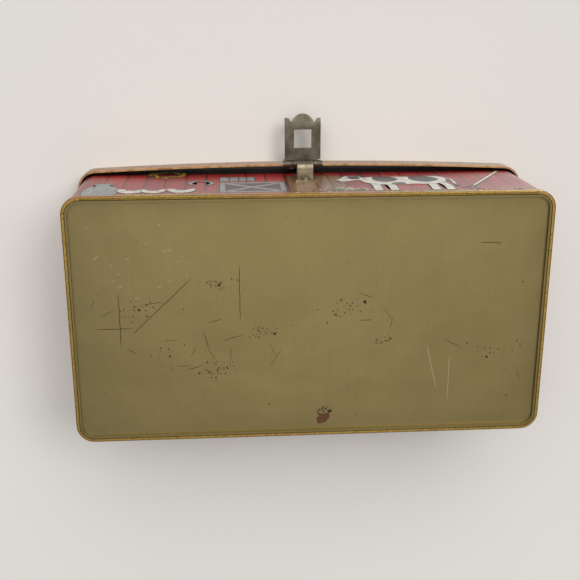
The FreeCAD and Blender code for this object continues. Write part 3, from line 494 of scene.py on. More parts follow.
def layered(name, shapes, face, material):
    """The same, for pairs of an outline and its own height."""
    mesh = bmesh.new()
    for outline, lift in shapes:
        lower = [mesh.verts.new(face(u, v, -SUNK) * MM) for u, v in outline]
        upper = [mesh.verts.new(face(u, v, lift) * MM) for u, v in outline]
        mesh.faces.new(upper)
        mesh.faces.new(lower)
        for index, vertex in enumerate(upper):
            following = (index + 1) % len(upper)
            mesh.faces.new((vertex, lower[index], lower[following], upper[following]))
    bmesh.ops.triangulate(mesh, faces=[f for f in mesh.faces if len(f.verts) > 4])
    bmesh.ops.recalc_face_normals(mesh, faces=mesh.faces)
    piece = object_of(mesh, name, material)
    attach(piece, "body")


def object_of(mesh, name, material):
    """An object in the scene made of a bmesh, with one material."""
    data = bpy.data.meshes.new(name)
    mesh.to_mesh(data)
    mesh.free()
    data.materials.append(material)
    made = bpy.data.objects.new(name, data)
    bpy.context.scene.collection.objects.link(made)
    return made


def rectangle(left, low, right, high):
    return [(left, low), (right, low), (right, high), (left, high)]


def oval(u, v, half_wide, half_tall, turn=0.0, points=28):
    """An ellipse turned by an angle in degrees."""
    lean = math.radians(turn)
    made = []
    for index in range(points):
        angle = math.tau * index / points
        a, b = half_wide * math.cos(angle), half_tall * math.sin(angle)
        made.append((u + a * math.cos(lean) - b * math.sin(lean),
                     v + a * math.sin(lean) + b * math.cos(lean)))
    return made


def chip(draw, u, v, radius, points=11, uneven=0.45):
    """A ragged round patch."""
    made = []
    for index in range(points):
        angle = math.tau * index / points
        reach = radius * draw.uniform(1 - uneven, 1 + uneven * 0.6)
        made.append((u + reach * math.cos(angle), v + reach * math.sin(angle)))
    return made


def stroke(points, wide, ends=0.25):
    """A line through points as one strip, thinner at both ends."""
    left, right = [], []
    last = len(points) - 1
    for index, (u, v) in enumerate(points):
        before, after = points[max(index - 1, 0)], points[min(index + 1, last)]
        run, rise = after[0] - before[0], after[1] - before[1]
        long = math.hypot(run, rise)
        half = wide / 2 * (ends if index in (0, last) else 1.0)
        left.append((u - rise / long * half, v + run / long * half))
        right.append((u + rise / long * half, v - run / long * half))
    return left + right[::-1]


def arc(u, v, radius, start, stop, wide, points=18):
    """A curved strip between two angles in degrees."""
    angles = [math.radians(start + (stop - start) * i / points) for i in range(points + 1)]
    line = [(u + radius * math.cos(a), v + radius * math.sin(a)) for a in angles]
    return stroke(line, wide, ends=1.0)


def scratch(draw, start, end, wide):
    """A slightly wandering scratch."""
    long = math.dist(start, end)
    count = max(3, round(long / 2.5))
    line = []
    for index in range(count + 1):
        share = index / count
        wander = draw.uniform(-0.12, 0.12) if 0 < index < count else 0.0
        line.append((start[0] + (end[0] - start[0]) * share + wander,
                     start[1] + (end[1] - start[1]) * share + wander))
    return stroke(line, wide)


# Places on the bottom panel are shares of its half length and half width, from -1 to 1; the
# second grows away from the hasp. Zones of wear: along, across, spread, scratches, chips.
WEAR_ZONES = [
    (-0.7, -0.1, 0.15, 3, 34), (-0.6, 0.3, 0.12, 5, 14), (-0.4, -0.3, 0.08, 0, 30),
    (-0.4, 0.4, 0.12, 4, 44), (-0.2, 0.1, 0.10, 3, 26), (0.15, -0.1, 0.12, 4, 30),
    (0.3, 0.2, 0.06, 1, 18), (0.8, 0.3, 0.15, 2, 16), (0.05, 0.8, 0.06, 0, 26),
]
# the few marks that stand out: from, to
LONG_MARKS = [
    ((-0.75, 0.1), (-0.5, -0.35)), ((-0.8, -0.25), (-0.8, 0.2)), ((-0.9, 0.05), (-0.75, 0.05)),
    ((-0.3, -0.45), (-0.3, 0.0)), ((0.7, -0.6), (0.8, -0.6)),
]
PALE_MARKS = [((0.5, 0.25), (0.55, 0.65)), ((0.6, 0.35), (0.6, 0.75))]
RUST_PLACE = (0.05, 0.87)
LOOSE_CHIPS, RUB_MARKS = 90, 16
PANEL_REACH = 0.93       # strewn marks and chips start within this share of the panel


def panel_spot(share):
    """A place on the panel in millimetres from its shares."""
    along, across = share
    return along * WALL_HALF_LONG, across * WALL_HALF_DEEP


def strewn(draw, zone, spread):
    """A random place about a zone's middle, kept on the panel."""
    share = [max(-PANEL_REACH, min(PANEL_REACH, draw.gauss(middle, spread))) for middle in zone]
    return panel_spot(share)


def zone_marks(draw):
    """Short scratches and chips, thickest about the wear zones."""
    lines, chips = [], []
    for along, across, spread, scratches, flecks in WEAR_ZONES:
        for _ in range(scratches):
            u, v = strewn(draw, (along, across), spread)
            lean, long = draw.uniform(0, math.tau), draw.uniform(4, 10)
            end = (u + long * math.cos(lean), v + long * math.sin(lean))
            lines.append(scratch(draw, (u, v), end, draw.uniform(0.14, 0.24)))
        u, v = strewn(draw, (along, across), spread / 3)
        chips.append(chip(draw, u, v, draw.uniform(0.5, 0.9)))
        for _ in range(flecks):
            u, v = strewn(draw, (along, across), spread / 3)
            chips.append(chip(draw, u, v, draw.uniform(0.12, 0.36), points=6))
    return lines, chips


def panel_marks():
    """Scratches, rubbed marks, chips and rust on the bottom panel."""
    draw = random.Random(11)
    dark = bare_metal("bare_dark_steel", srgb(40, 31, 18), srgb(70, 55, 32), 0.6, 0.3)
    pale = bare_metal("rubbed_bright_tin", srgb(176, 164, 126), srgb(206, 196, 162), 0.4, 0.6)
    rust = bare_metal("panel_rust", srgb(74, 46, 26), srgb(112, 72, 40), 0.85, 0.0)
    lines, chips = zone_marks(draw)
    for start, end in LONG_MARKS:
        lines.append(scratch(draw, panel_spot(start), panel_spot(end), 0.26))
    plates("panel_scratches", lines, on_panel, SCRATCH_LIFT, dark)
    lines = [scratch(draw, panel_spot(start), panel_spot(end), 0.22) for start, end in PALE_MARKS]
    for _ in range(RUB_MARKS):
        u, v = panel_spot((draw.uniform(-0.94, -0.5), draw.uniform(-0.88, -0.1)))
        lean, long = draw.uniform(0.2, 0.9), draw.uniform(0.6, 2.6)
        lines.append(scratch(draw, (u, v), (u + long, v - long * lean), 0.24))
    plates("panel_rub_marks", lines, on_panel, SCRATCH_LIFT, pale)
    for _ in range(LOOSE_CHIPS):
        u, v = panel_spot([draw.uniform(-PANEL_REACH, PANEL_REACH) for _ in range(2)])
        chips.append(chip(draw, u, v, draw.uniform(0.08, 0.2), points=5))
    plates("panel_chips", chips, on_panel, CHIP_LIFT, dark)
    u, v = panel_spot(RUST_PLACE)
    patches = [chip(draw, u, v, 3.0, points=19)]
    for _ in range(3):
        spot = draw.gauss(u, 2.0), draw.gauss(v, 1.6)
        patches.append(chip(draw, *spot, draw.uniform(0.9, 1.5), points=13))
    plates("panel_rust_patches", patches, on_panel, RUST_LIFT, rust)


panel_marks()

# ---------------------------------------------------------------- artwork on the walls

INKS = {
    "outline": ink("ink_outline", srgb(38, 24, 22), srgb(54, 34, 28)),
    "timber": ink("ink_timber", srgb(146, 104, 70), srgb(112, 76, 50), 1.6, (1, 1, 12)),
    "shade": ink("ink_shade", srgb(86, 40, 52), srgb(64, 34, 44), 2.0, (1, 1, 8)),
    "stone": ink("ink_stone", srgb(128, 132, 136), srgb(156, 158, 156), 2.0),
    "cream": ink("ink_cream", srgb(232, 228, 214), srgb(208, 204, 196), 3.0),
    "black": ink("ink_black", srgb(44, 44, 48), srgb(66, 66, 68), 3.0),
    "leaf": ink("ink_leaf", srgb(84, 106, 48), srgb(58, 82, 40), 1.5),
    "gold": ink("ink_gold", srgb(222, 176, 58), srgb(184, 134, 40), 1.0),
    "straw": ink("ink_straw", srgb(244, 220, 120), srgb(206, 164, 60), 1.0),
    "scarlet": ink("ink_scarlet", srgb(196, 40, 34), srgb(164, 30, 28), 1.0),
}
OUTLINE = 0.4            # how far the dark line shows round a shape


class Print:
    """Flat artwork on one wall. Later shapes lie over earlier ones; each ink becomes one piece."""

    def __init__(self, wall, face):
        self.wall = wall
        self.face = face
        self.shapes = {name: [] for name in INKS}
        self.top = INK_LIFT

    def add(self, colour, shape):
        self.shapes[colour].append((shape, self.top))
        self.top += LAYER

    def board(self, colour, left, low, right, high):
        line = OUTLINE
        self.add("outline", rectangle(left - line, low - line, right + line, high + line))
        self.add(colour, rectangle(left, low, right, high))

    def round(self, colour, u, v, half_wide, half_tall, turn=0.0):
        self.add("outline", oval(u, v, half_wide + OUTLINE, half_tall + OUTLINE, turn))
        self.add(colour, oval(u, v, half_wide, half_tall, turn))

    def line(self, colour, points, wide, ends=1.0):
        self.add("outline", stroke(points, wide + 2 * OUTLINE, ends))
        self.add(colour, stroke(points, wide, ends))

    def shape(self, colour, points):
        """A smooth closed outline through a few points."""
        self.add("outline", smooth(swollen(points, OUTLINE)))
        self.add(colour, smooth(points))

    def make(self):
        for name, shapes in self.shapes.items():
            if shapes:
                layered(f"{self.wall}_print_{name}", shapes, self.face, INKS[name])


def smooth(points, steps=5):
    """A closed Catmull-Rom curve through points."""
    made = []
    count = len(points)
    for index in range(count):
        a, b, c, d = (points[(index + shift) % count] for shift in (-1, 0, 1, 2))
        for part in range(steps):
            s = part / steps
            made.append(tuple(
                0.5 * (2 * b[k] + (c[k] - a[k]) * s + (2 * a[k] - 5 * b[k] + 4 * c[k] - d[k]) * s ** 2
                       + (3 * b[k] - a[k] - 3 * c[k] + d[k]) * s ** 3) for k in (0, 1)))
    return made


def swollen(points, grow):
    """The outline pushed outwards by grow at every point."""
    count = len(points)
    area = sum(points[i - 1][0] * points[i][1] - points[i][0] * points[i - 1][1] for i in range(count))
    side = math.copysign(1, area)
    made = []
    for index in range(count):
        before, after = points[index - 1], points[(index + 1) % count]
        run, rise = after[0] - before[0], after[1] - before[1]
        long = math.hypot(run, rise)
        made.append((points[index][0] + side * rise / long * grow,
                     points[index][1] - side * run / long * grow))
    return made


def placed(points, u, v, size, mirror):
    """Points drawn round (0, 0), scaled and put at (u, v)."""
    return [(u + a * size * mirror, v + b * size) for a, b in points]


def braced_door(art, left, low, right, high, panel="shade", frame_ink="stone", wide=2.2):
    """A plank door with a frame and crossed braces."""
    art.board(panel, left, low, right, high)
    half = wide / 2
    art.line(frame_ink, [(left + half, low + half), (right - half, high - half)], wide)
    art.line(frame_ink, [(left + half, high - half), (right - half, low + half)], wide)
    art.board(frame_ink, left, low, left + wide, high)
    art.board(frame_ink, right - wide, low, right, high)
    art.board(frame_ink, left, low, right, low + wide)
    art.board(frame_ink, left, high - wide, right, high)


def hen(art, u, v, size, mirror):
    """A plain hen, which faces left unless it is mirrored."""
    def at(points):
        return placed(points, u, v, size, mirror)
    body = [(-3.4, 3.2), (-1.2, 5.0), (1.6, 4.6), (4.2, 6.8), (5.4, 5.8), (4.6, 2.6),
            (2.0, 0.6), (-1.6, 0.8)]
    neck = [(-3.6, 3.2), (-4.4, 6.2), (-3.4, 7.4), (-1.6, 6.4), (-0.8, 4.4)]
    for foot in (-0.6, 1.0):
        leg = stroke([(foot, 1.4), (foot, -0.8), (foot - 0.9, -1.0)], 0.45, 1.0)
        art.add("gold", at(leg))
    art.shape("cream", at(body))
    art.shape("cream", at(neck))
    art.add("gold", at([(-4.2, 6.7), (-5.6, 6.2), (-4.2, 5.9)]))
    art.add("scarlet", at(oval(-3.0, 7.7, 1.1, 0.6, -20, 12)))
    art.add("scarlet", at(oval(-4.0, 5.2, 0.4, 0.7, 0, 10)))
    art.add("outline", at(stroke([(0.6, 3.6), (2.4, 2.2), (3.6, 3.4)], 0.35)))


def cow(art, u, v):
    """A plain spotted cow that faces left, drawn round its middle."""
    def at(points):
        return placed(points, u, v, size=1.0, mirror=1)
    for hip, foot in ((-13.0, -13.6), (-8.0, -7.0), (11.0, 10.6), (15.6, 16.6)):
        art.line("cream", at([(hip, 3.0), (foot + 0.4, -6.0), (foot, -15.0)]), 3.4)
        art.add("black", at(rectangle(foot - 1.8, -16.6, foot + 1.8, -14.6)))
    body = [(-17, 13), (-6, 15), (6, 14), (16, 15), (19, 11), (18, 3), (14, -1),
            (4, -2.4), (-8, -2.8), (-15, 0), (-18, 6)]
    head = [(-17, 14), (-20, 17.4), (-24, 17), (-26.6, 12), (-29, 7.6), (-27.4, 5),
            (-24, 5.8), (-20, 8), (-16, 8)]
    art.line("cream", at([(18.6, 12), (21.4, 7), (21.0, -3)]), 1.1)
    art.shape("cream", at(body))
    art.shape("cream", at(head))
    art.add("scarlet", at(oval(4, -2.6, 3.2, 1.4)))
    for patch in ([(-12, 14), (-4, 14.6), (-2, 8), (-7, 3), (-12, 6)],
                  [(4, 14), (12, 14.4), (16, 8), (10, 2), (4, 6)],
                  [(-6, -2.2), (0, -2), (-1, 2), (-5, 1)],
                  [(-23, 16.4), (-19, 16.4), (-18, 11), (-22, 10)]):
        art.add("black", smooth(at(patch)))
    art.add("black", at(oval(-28.2, 6.4, 1.0, 1.6, 20)))
    art.add("black", at(oval(-17.2, 17.4, 2.6, 1.1, 24)))
    art.add("black", at(oval(21.0, -5.2, 1.2, 2.6)))
    art.add("outline", at(oval(-23.8, 12.8, 0.5, 0.5, 0, 10)))


def wreath(art, u, v, radius, leaves=26):
    """A ring of leaves in two staggered rows."""
    for index in range(leaves):
        angle = math.tau * index / leaves
        reach = radius + (0.9 if index % 2 else -0.9)
        colour = "gold" if index % 3 else "leaf"
        centre = (u + reach * math.cos(angle), v + reach * math.sin(angle))
        art.round(colour, *centre, 1.9, 0.75, math.degrees(angle) + 60)


def horseshoe(art, u, v, radius):
    """A shoe with its gap downwards."""
    art.add("outline", arc(u, v, radius, -50, 230, 2.4))
    art.add("stone", arc(u, v, radius, -48, 228, 1.5))


def straw_heap(art, draw, left, right, tall):
    """Loose stalks at the foot of a wall."""
    for _ in range(round((right - left) * 2.2)):
        u, v = draw.uniform(left, right), draw.uniform(3.6, tall * 0.6)
        lean, long = draw.uniform(-1.2, 1.2), draw.uniform(1.6, 4.2)
        top = (u + math.sin(lean) * long, v + math.cos(lean) * long)
        colour = draw.choice(("gold", "straw", "timber", "outline"))
        art.add(colour, stroke([(u, v), top], draw.uniform(0.3, 0.55), 0.5))


def plant(art, draw, u, v, reach):
    """A tuft of leaves with pale flowers."""
    for _ in range(14):
        lean, long = draw.uniform(-1.2, 1.2), draw.uniform(0.5, 1.0) * reach
        tip = (u + math.sin(lean) * long, v + math.cos(lean) * long)
        art.add("leaf", stroke([(u, v), ((u + tip[0]) / 2, (v + tip[1]) / 2), tip], 0.9, 0.2))
        art.add("cream", oval(*tip, 0.6, 0.5, 0, 8))


def fence(art, left, right, posts):
    """Two rails behind upright posts."""
    for height in (14.0, 23.0):
        art.board("cream", left, height, right, height + 2.4)
    for index in range(posts):
        u = left + (right - left) * (index + 0.5) / posts
        art.board("cream", u - 1.6, 7.0, u + 1.6, 29.0)


def milk_can(art, u, v):
    """A churn with narrow shoulders, a lid and a highlight."""
    art.shape("stone", [(u - 6, v), (u - 6.2, v + 14), (u - 3, v + 18.6), (u - 3, v + 22),
                        (u + 3, v + 22), (u + 3, v + 18.6), (u + 6.2, v + 14), (u + 6, v)])
    art.board("stone", u - 4.2, v + 21.6, u + 4.2, v + 23.4)
    art.add("cream", stroke([(u - 3.6, v + 3), (u - 3.7, v + 13)], 1.0))


def pitchfork(art, foot, top):
    """A fork leaning on the wall, tines down."""
    art.line("cream", [foot, top], 1.1)
    for spread in (-3.0, 0.0, 3.0):
        tip = (foot[0] - 3.0 + spread, foot[1] - 6.0 - spread * 0.5)
        art.line("stone", [(foot[0] + spread * 0.5, foot[1] - 0.5), tip], 0.6)


def front_art():
    """The wall under the hasp: can, hens, wreath, doors, cow and fork."""
    draw = random.Random(5)
    art = Print("front", on_front)
    art.board("timber", -8.0, 9.0, 16.0, 44.0)
    for u in (-2.0, 4.0, 10.0):
        art.add("outline", rectangle(u - 0.2, 9.0, u + 0.2, 44.0))
    braced_door(art, -37.0, 9.0, -9.5, 30.0)
    art.board("stone", -37.0, 33.0, -22.0, 42.0)
    for u in (-33.0, -29.0, -25.5):
        art.add("outline", rectangle(u - 0.25, 33.0, u + 0.25, 42.0))
    plant(art, draw, 12.0, 9.0, 9.0)
    plant(art, draw, 20.0, 8.0, 7.0)
    milk_can(art, -86.0, 7.0)
    wreath(art, -60.5, 50.0, 6.4)
    horseshoe(art, -45.0, 29.0, 4.6)
    for u, size, mirror in ((-74.0, 1.25, 1), (-63.5, 1.05, -1), (-53.5, 1.2, 1)):
        hen(art, u, 9.0, size, mirror)
    cow(art, 42.0, 23.5)
    pitchfork(art, (70.0, 17.0), (89.0, 49.0))
    for left, right in STRAW_STRETCHES:
        straw_heap(art, draw, left, right, 8.0)
    art.make()


def back_art():
    """The hinge side: a pair of barn doors between two windows."""
    draw = random.Random(6)
    art = Print("back", on_back)
    braced_door(art, -28.0, 5.0, -0.8, 46.0, frame_ink="cream", wide=3.0)
    braced_door(art, 0.8, 5.0, 28.0, 46.0, frame_ink="cream", wide=3.0)
    for u in (-62.0, 62.0):
        art.board("cream", u - 10.5, 10.5, u + 10.5, 31.5)
        for left in (u - 8.8, u + 0.8):
            for low in (12.2, 21.8):
                art.board("shade", left, low, left + 8.0, low + 8.0)
    for left, right in ((-96, -76), (-46, -32), (34, 92)):
        straw_heap(art, draw, left, right, 11.0)
    hen(art, 84.0, 9.0, 1.1, 1)
    hen(art, -86.0, 9.0, 1.1, -1)
    art.make()


def end_art(wall, face, seed):
    """An end wall: a fence under a small braced window."""
    draw = random.Random(seed)
    art = Print(wall, face)
    fence(art, -46.0, 46.0, 7)
    art.board("cream", -9.0, 31.5, 9.0, 47.0)
    art.board("shade", -7.2, 33.2, 7.2, 45.4)
    art.line("cream", [(-7.0, 33.4), (7.0, 45.2)], 1.2)
    art.line("cream", [(-7.0, 45.2), (7.0, 33.4)], 1.2)
    for left, right in ((-45, -15), (10, 40)):
        straw_heap(art, draw, left, right, 10.0)
    plant(art, draw, 0.0, 6.0, 9.0)
    art.make()


front_art()
back_art()
end_art("right_end", on_right, 7)
end_art("left_end", on_left, 8)

# ---------------------------------------------------------------- formed pieces


def finished(mesh, name, material, body, node, bevel, sheet=None):
    """Turns a bmesh into a piece that stands for a CAD node, with its edges broken."""
    piece = object_of(mesh, name, material)
    for face in piece.data.polygons:
        face.use_smooth = True
    if sheet:
        thick = piece.modifiers.new("sheet", "SOLIDIFY")
        thick.thickness = sheet * MM
        thick.offset = -1.0
    broken = piece.modifiers.new("edges", "BEVEL")
    broken.width = bevel * MM
    broken.segments = 2
    broken.limit_method = "ANGLE"
    broken.angle_limit = math.radians(35)
    broken.harden_normals = True
    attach(piece, body)
    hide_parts(node)


def grip_radius(x, half):
    """The grip's radius at x: a barrel with rounded ends, two collars and shallow rings."""
    largest, ends = (GRIP_HIGH.z - GRIP_LOW.z) / 2, 4.2
    rounding, collar, collar_place, collar_wide = 1.3, 0.35, 3.0, 0.8
    ring_deep, ring_step, ringed_half = 0.3, 3.2, 17.6
    radius = ends + (largest - ends) * (1 - (x / half) ** 2)
    from_end = half - abs(x)
    if from_end < rounding:
        radius -= rounding - math.sqrt(rounding ** 2 - (rounding - from_end) ** 2)
    radius += collar * math.exp(-((from_end - collar_place) / collar_wide) ** 2)
    if abs(x) < ringed_half:
        radius -= ring_deep * max(0.0, math.cos(math.tau * x / ring_step)) ** 6
    return radius


def turned_grip():
    """The grip as moulded, with a parting line, round the bail's wire."""
    middle = (GRIP_LOW + GRIP_HIGH) / 2
    half = (GRIP_HIGH.x - GRIP_LOW.x) / 2
    bore, parting_proud = 1.65, 0.10
    around, along = 56, 230
    mesh = bmesh.new()

    def ring(x, radius, proud):
        """A circle of points round the grip, a little proud at the parting line."""
        spots = []
        for turn in range(around):
            angle = math.tau * turn / around
            reach = radius + (proud if turn in (0, around // 2) else 0.0)
            spot = Vector((x, reach * math.cos(angle), reach * math.sin(angle)))
            spots.append(mesh.verts.new((middle + spot) * MM))
        return spots

    rings = []
    for index in range(along + 1):
        x = half * (2 * index / along - 1)
        rings.append(ring(x, grip_radius(x, half), parting_proud))
    rings.insert(0, ring(-half, bore, 0.0))
    rings.append(ring(half, bore, 0.0))
    rings.append(rings[0])
    for first, second in zip(rings, rings[1:]):
        for turn in range(around):
            following = (turn + 1) % around
            mesh.faces.new((first[turn], second[turn], second[following], first[following]))
    bmesh.ops.recalc_face_normals(mesh, faces=mesh.faces)
    finished(mesh, "moulded_grip", NODE_MATERIALS["grip_plastic"], "handle",
             "handle_grip", bevel=0.1)


HASP_CURL, HASP_SHEET = 1.7, 1.0     # outer radius of the hasp's knuckle, and its sheet
TONGUE_PAST_EARS = 1.6               # how far the round tongue passes the ears


def hasp_outline(half, root, crown):
    """The plate's flat outline from its root to the tongue's crown, at distances from the hinge."""
    ear = crown - TONGUE_PAST_EARS
    ear_tip, notch_half, notch_deep, notch_wide, lip = 1.7, 4.95, 1.6, 0.5, 0.25
    valley = ear - notch_deep
    rise = crown - valley
    radius = (notch_half ** 2 + rise ** 2) / (2 * rise)
    widest = math.asin(notch_half / radius)
    turns = [widest * (step / 8 - 1) for step in range(17)]
    tongue = [(radius * math.sin(turn), crown - radius + radius * math.cos(turn)) for turn in turns]
    side = [(half, root), (half, ear), (half - ear_tip, ear - 0.1),
            (notch_half + notch_wide, valley + lip)]
    return [(-x, s) for x, s in side] + tongue + side[::-1]


def formed_hasp():
    """The hasp's plate as pressed: a tongue that curls up, ears and a rolled knuckle."""
    low, high = span("hasp_plate")
    hinge_y, hinge_z = high.y - HASP_CURL, low.z + HASP_CURL
    root, knuckle_share, bore = 2.0, 9 / 16, 1.05
    window_half, window_near, window_far = 3.9, 7.0, 15.2
    bend_from, bend_radius, cuts, cut_step = 16.2, 9.0, 14, 0.45
    window = rectangle(-window_half, window_near, window_half, window_far)
    mesh = bmesh.new()
    for loop in (hasp_outline(high.x, root, hinge_y - low.y), window):
        spots = [mesh.verts.new((x, s, 0)) for x, s in loop]
        for index, spot in enumerate(spots):
            mesh.edges.new((spot, spots[(index + 1) % len(spots)]))
    bmesh.ops.triangle_fill(mesh, use_beauty=True, edges=mesh.edges)
    for step in range(cuts):
        cut_at = bend_from - 0.4 + step * cut_step
        parts = mesh.verts[:] + mesh.edges[:] + mesh.faces[:]
        bmesh.ops.bisect_plane(mesh, geom=parts, dist=1e-5, plane_co=(0, cut_at, 0), plane_no=(0, 1, 0))
    for spot in mesh.verts:
        x, s, _ = spot.co
        past = max(0.0, s - bend_from)
        lift = bend_radius - math.sqrt(bend_radius ** 2 - past ** 2)
        spot.co = Vector((x, hinge_y - s, hinge_z + HASP_CURL + lift)) * MM
    bmesh.ops.recalc_face_normals(mesh, faces=mesh.faces)
    mesh.normal_update()
    if sum(face.normal.z for face in mesh.faces) < 0:
        bmesh.ops.reverse_faces(mesh, faces=mesh.faces)
    finished(mesh, "pressed_hasp", NODE_MATERIALS["hasp_steel"], "hasp",
             "hasp_plate", bevel=0.14, sheet=HASP_SHEET)
    rolled_knuckle(Vector((0, hinge_y, hinge_z)), bore, high.x * knuckle_share, root)


def rolled_knuckle(centre, inner, half_long, reach):
    """Sheet rolled round the pin, its end tucked under, with the strip that joins it to the plate."""
    outer = HASP_CURL
    turns = [math.radians(90 - 325 * i / 30) for i in range(31)]
    outline = [(-reach, inner), (-reach, outer)]
    outline += [(outer * math.cos(a), outer * math.sin(a)) for a in turns]
    outline += [(inner * math.cos(a), inner * math.sin(a)) for a in reversed(turns)]
    mesh = bmesh.new()
    ends = []
    for side in (-half_long, half_long):
        ends.append([mesh.verts.new((centre + Vector((side, y, z))) * MM) for y, z in outline])
    count = len(outline)
    for index in range(count):
        following = (index + 1) % count
        mesh.faces.new((ends[0][index], ends[0][following], ends[1][following], ends[1][index]))
    for end in ends:
        mesh.faces.new(end)
    bmesh.ops.triangulate(mesh, faces=[f for f in mesh.faces if len(f.verts) > 4])
    bmesh.ops.recalc_face_normals(mesh, faces=mesh.faces)
    finished(mesh, "rolled_hasp_knuckle", NODE_MATERIALS["hasp_steel"], "hasp",
             "hasp_plate", bevel=0.08)


turned_grip()
formed_hasp()

# ---------------------------------------------------------------- stage, lights and camera


def one_sided(name, colour):
    """A plain matt surface that only its front shows."""
    material = bpy.data.materials.new(name)
    nodes = Nodes(material)
    matt = nodes.node("ShaderNodeBsdfDiffuse", {"Color": colour})
    clear = nodes.node("ShaderNodeBsdfTransparent")
    behind = nodes.node("ShaderNodeNewGeometry").outputs["Backfacing"]
    choose = nodes.node("ShaderNodeMixShader", [behind, matt.outputs[0], clear.outputs[0]])
    nodes.node("ShaderNodeOutputMaterial", {"Surface": choose.outputs[0]})
    return material


def stage_plane(name, places, faces, material):
    """A surface that the camera alone sees, so that it blocks no light."""
    data = bpy.data.meshes.new(name)
    data.from_pydata([Vector(place) * MM for place in places], [], faces)
    data.materials.append(material)
    plane = bpy.data.objects.new(name, data)
    bpy.context.scene.collection.objects.link(plane)
    for ray in ("diffuse", "glossy", "transmission", "volume_scatter", "shadow"):
        setattr(plane, "visible_" + ray, False)


def lid_loop(inset, per_corner=8, per_side=24):
    """The lid's outline from above, inset a little, with its front sprung out."""
    half_x, half_y = LID_HIGH.x - inset, LID_HIGH.y - inset
    corner = LID_CORNER - inset
    bow = -LID_LOW.y - LID_HIGH.y
    middle_x, middle_y = half_x - corner, half_y - corner
    loop = []
    for quarter, (side_x, side_y) in enumerate(((1, 1), (-1, 1), (-1, -1), (1, -1))):
        for step in range(per_corner + 1):
            angle = math.radians(90 * (quarter + step / per_corner))
            loop.append((side_x * middle_x + corner * math.cos(angle),
                         side_y * middle_y + corner * math.sin(angle)))
        if quarter == 2:
            for step in range(1, per_side):
                x = middle_x * (2 * step / per_side - 1)
                loop.append((x, -half_y - bow * (1 - (x / middle_x) ** 2)))
    return loop


def backdrop(height, half, material):
    """A sheet facing down round the lid, which hides its inner edge."""
    inner = lid_loop(inset=0.4)
    places, faces = [], []
    for x, y in inner:
        grow = half / max(abs(x), abs(y))
        places += [(x, y, height), (x * grow, y * grow, height)]
    count = len(inner)
    for index in range(count):
        here, following = 2 * index, 2 * ((index + 1) % count)
        faces.append((here, following, following + 1, here + 1))
    stage_plane("backdrop", places, faces, material)


def floor(half, material):
    """A wide sheet facing up under the box."""
    places = [(-half, -half, 0), (half, -half, 0), (half, half, 0), (-half, half, 0)]
    stage_plane("floor", places, [(0, 1, 2, 3)], material)


def sun(name, place, strength, spread, colour):
    """Soft even light that comes from a place towards the box, spread in degrees."""
    data = bpy.data.lights.new(name, "SUN")
    data.energy = strength
    data.angle = math.radians(spread)
    data.color = colour
    light = bpy.data.objects.new(name, data)
    light.rotation_mode = "QUATERNION"
    light.rotation_quaternion = (-Vector(place)).to_track_quat("-Z", "Y")
    bpy.context.scene.collection.objects.link(light)


LID_SUNK = 4.2           # the lid's top lies this deep in the backdrop
BACKDROP_HALF, FLOOR_HALF = 330, 9000
paper = one_sided("pale_stage", srgb(240, 238, 235))
backdrop(LID_HIGH.z - LID_SUNK, BACKDROP_HALF, paper)
floor(FLOOR_HALF, paper)

ROOM_ABOVE, ROOM_BELOW = 0.55, 0.12      # strengths
GLOW, GLOW_WIDE = 1.0, 22.0              # strength, and half width in degrees
GLOW_WAY = (0.10, 0.24, -0.96)


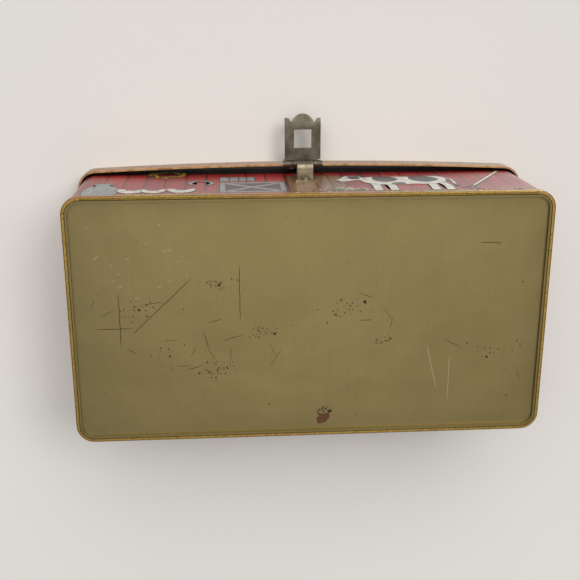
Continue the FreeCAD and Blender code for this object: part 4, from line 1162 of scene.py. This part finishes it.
def room_light():
    """Surroundings: pale above, dim below with a soft glow, and one plain tone to the camera."""
    world = bpy.data.worlds.new("soft_room")
    nodes = Nodes(world)

    def ranged(*inputs):
        return nodes.node("ShaderNodeMapRange", inputs, interpolation_type="SMOOTHSTEP").outputs[0]

    way = nodes.node("ShaderNodeTexCoord").outputs["Generated"]
    height = nodes.node("ShaderNodeSeparateXYZ", [way]).outputs[2]
    aim = Vector(GLOW_WAY).normalized()
    glow = nodes.node("ShaderNodeVectorMath", [way, aim], operation="DOT_PRODUCT").outputs["Value"]
    above = ranged(height, -0.25, 0.35, ROOM_BELOW, ROOM_ABOVE)
    near_glow = ranged(glow, math.cos(math.radians(GLOW_WIDE)), 1.0, 0.0, GLOW)
    strength = nodes.maths("ADD", above, near_glow)
    lit = nodes.node("ShaderNodeBackground", [srgb(250, 248, 245), strength])
    plain = nodes.node("ShaderNodeBackground", [srgb(221, 216, 210)])
    to_camera = nodes.node("ShaderNodeLightPath").outputs["Is Camera Ray"]
    choose = nodes.node("ShaderNodeMixShader", [to_camera, lit.outputs[0], plain.outputs[0]])
    nodes.node("ShaderNodeOutputWorld", {"Surface": choose.outputs[0]})
    bpy.context.scene.world = world


room_light()

WARM, COOL = (1.0, 0.98, 0.95), (0.95, 0.97, 1.0)
sun("key_below", (4.0, -3.2, -7.0), 0.75, 26, WARM)
sun("soft_below", (-1.0, -4.5, -7.0), 1.4, 70, WARM)
sun("front_below", (2.0, -7.0, -4.0), 0.6, 50, WARM)
sun("key_above", (4.2, -5.2, 7.6), 0.9, 18, WARM)
sun("fill_above", (-5.6, 3.0, 6.2), 0.25, 40, COOL)

CAMERA_PLACE = Vector((-33.9, -125.6, -353.7))
CAMERA_TARGET = Vector((-9.1, -13.2, 0.0))
LENS, SENSOR = 56.1, 36.0


def add_camera():
    """Looks up at the bottom panel, with the front wall at the top of the picture."""
    data = bpy.data.cameras.new("camera")
    data.lens = LENS
    data.sensor_width = SENSOR
    data.clip_start = 10 * MM
    camera = bpy.data.objects.new("camera", data)
    back = (CAMERA_PLACE - CAMERA_TARGET).normalized()
    right = Vector((0, -1, 0)).cross(back).normalized()
    turn = Matrix((right, back.cross(right), back)).transposed().to_4x4()
    camera.matrix_world = Matrix.Translation(CAMERA_PLACE * MM) @ turn
    bpy.context.scene.collection.objects.link(camera)
    bpy.context.scene.camera = camera


add_camera()
bpy.context.scene.view_settings.view_transform = "Standard"
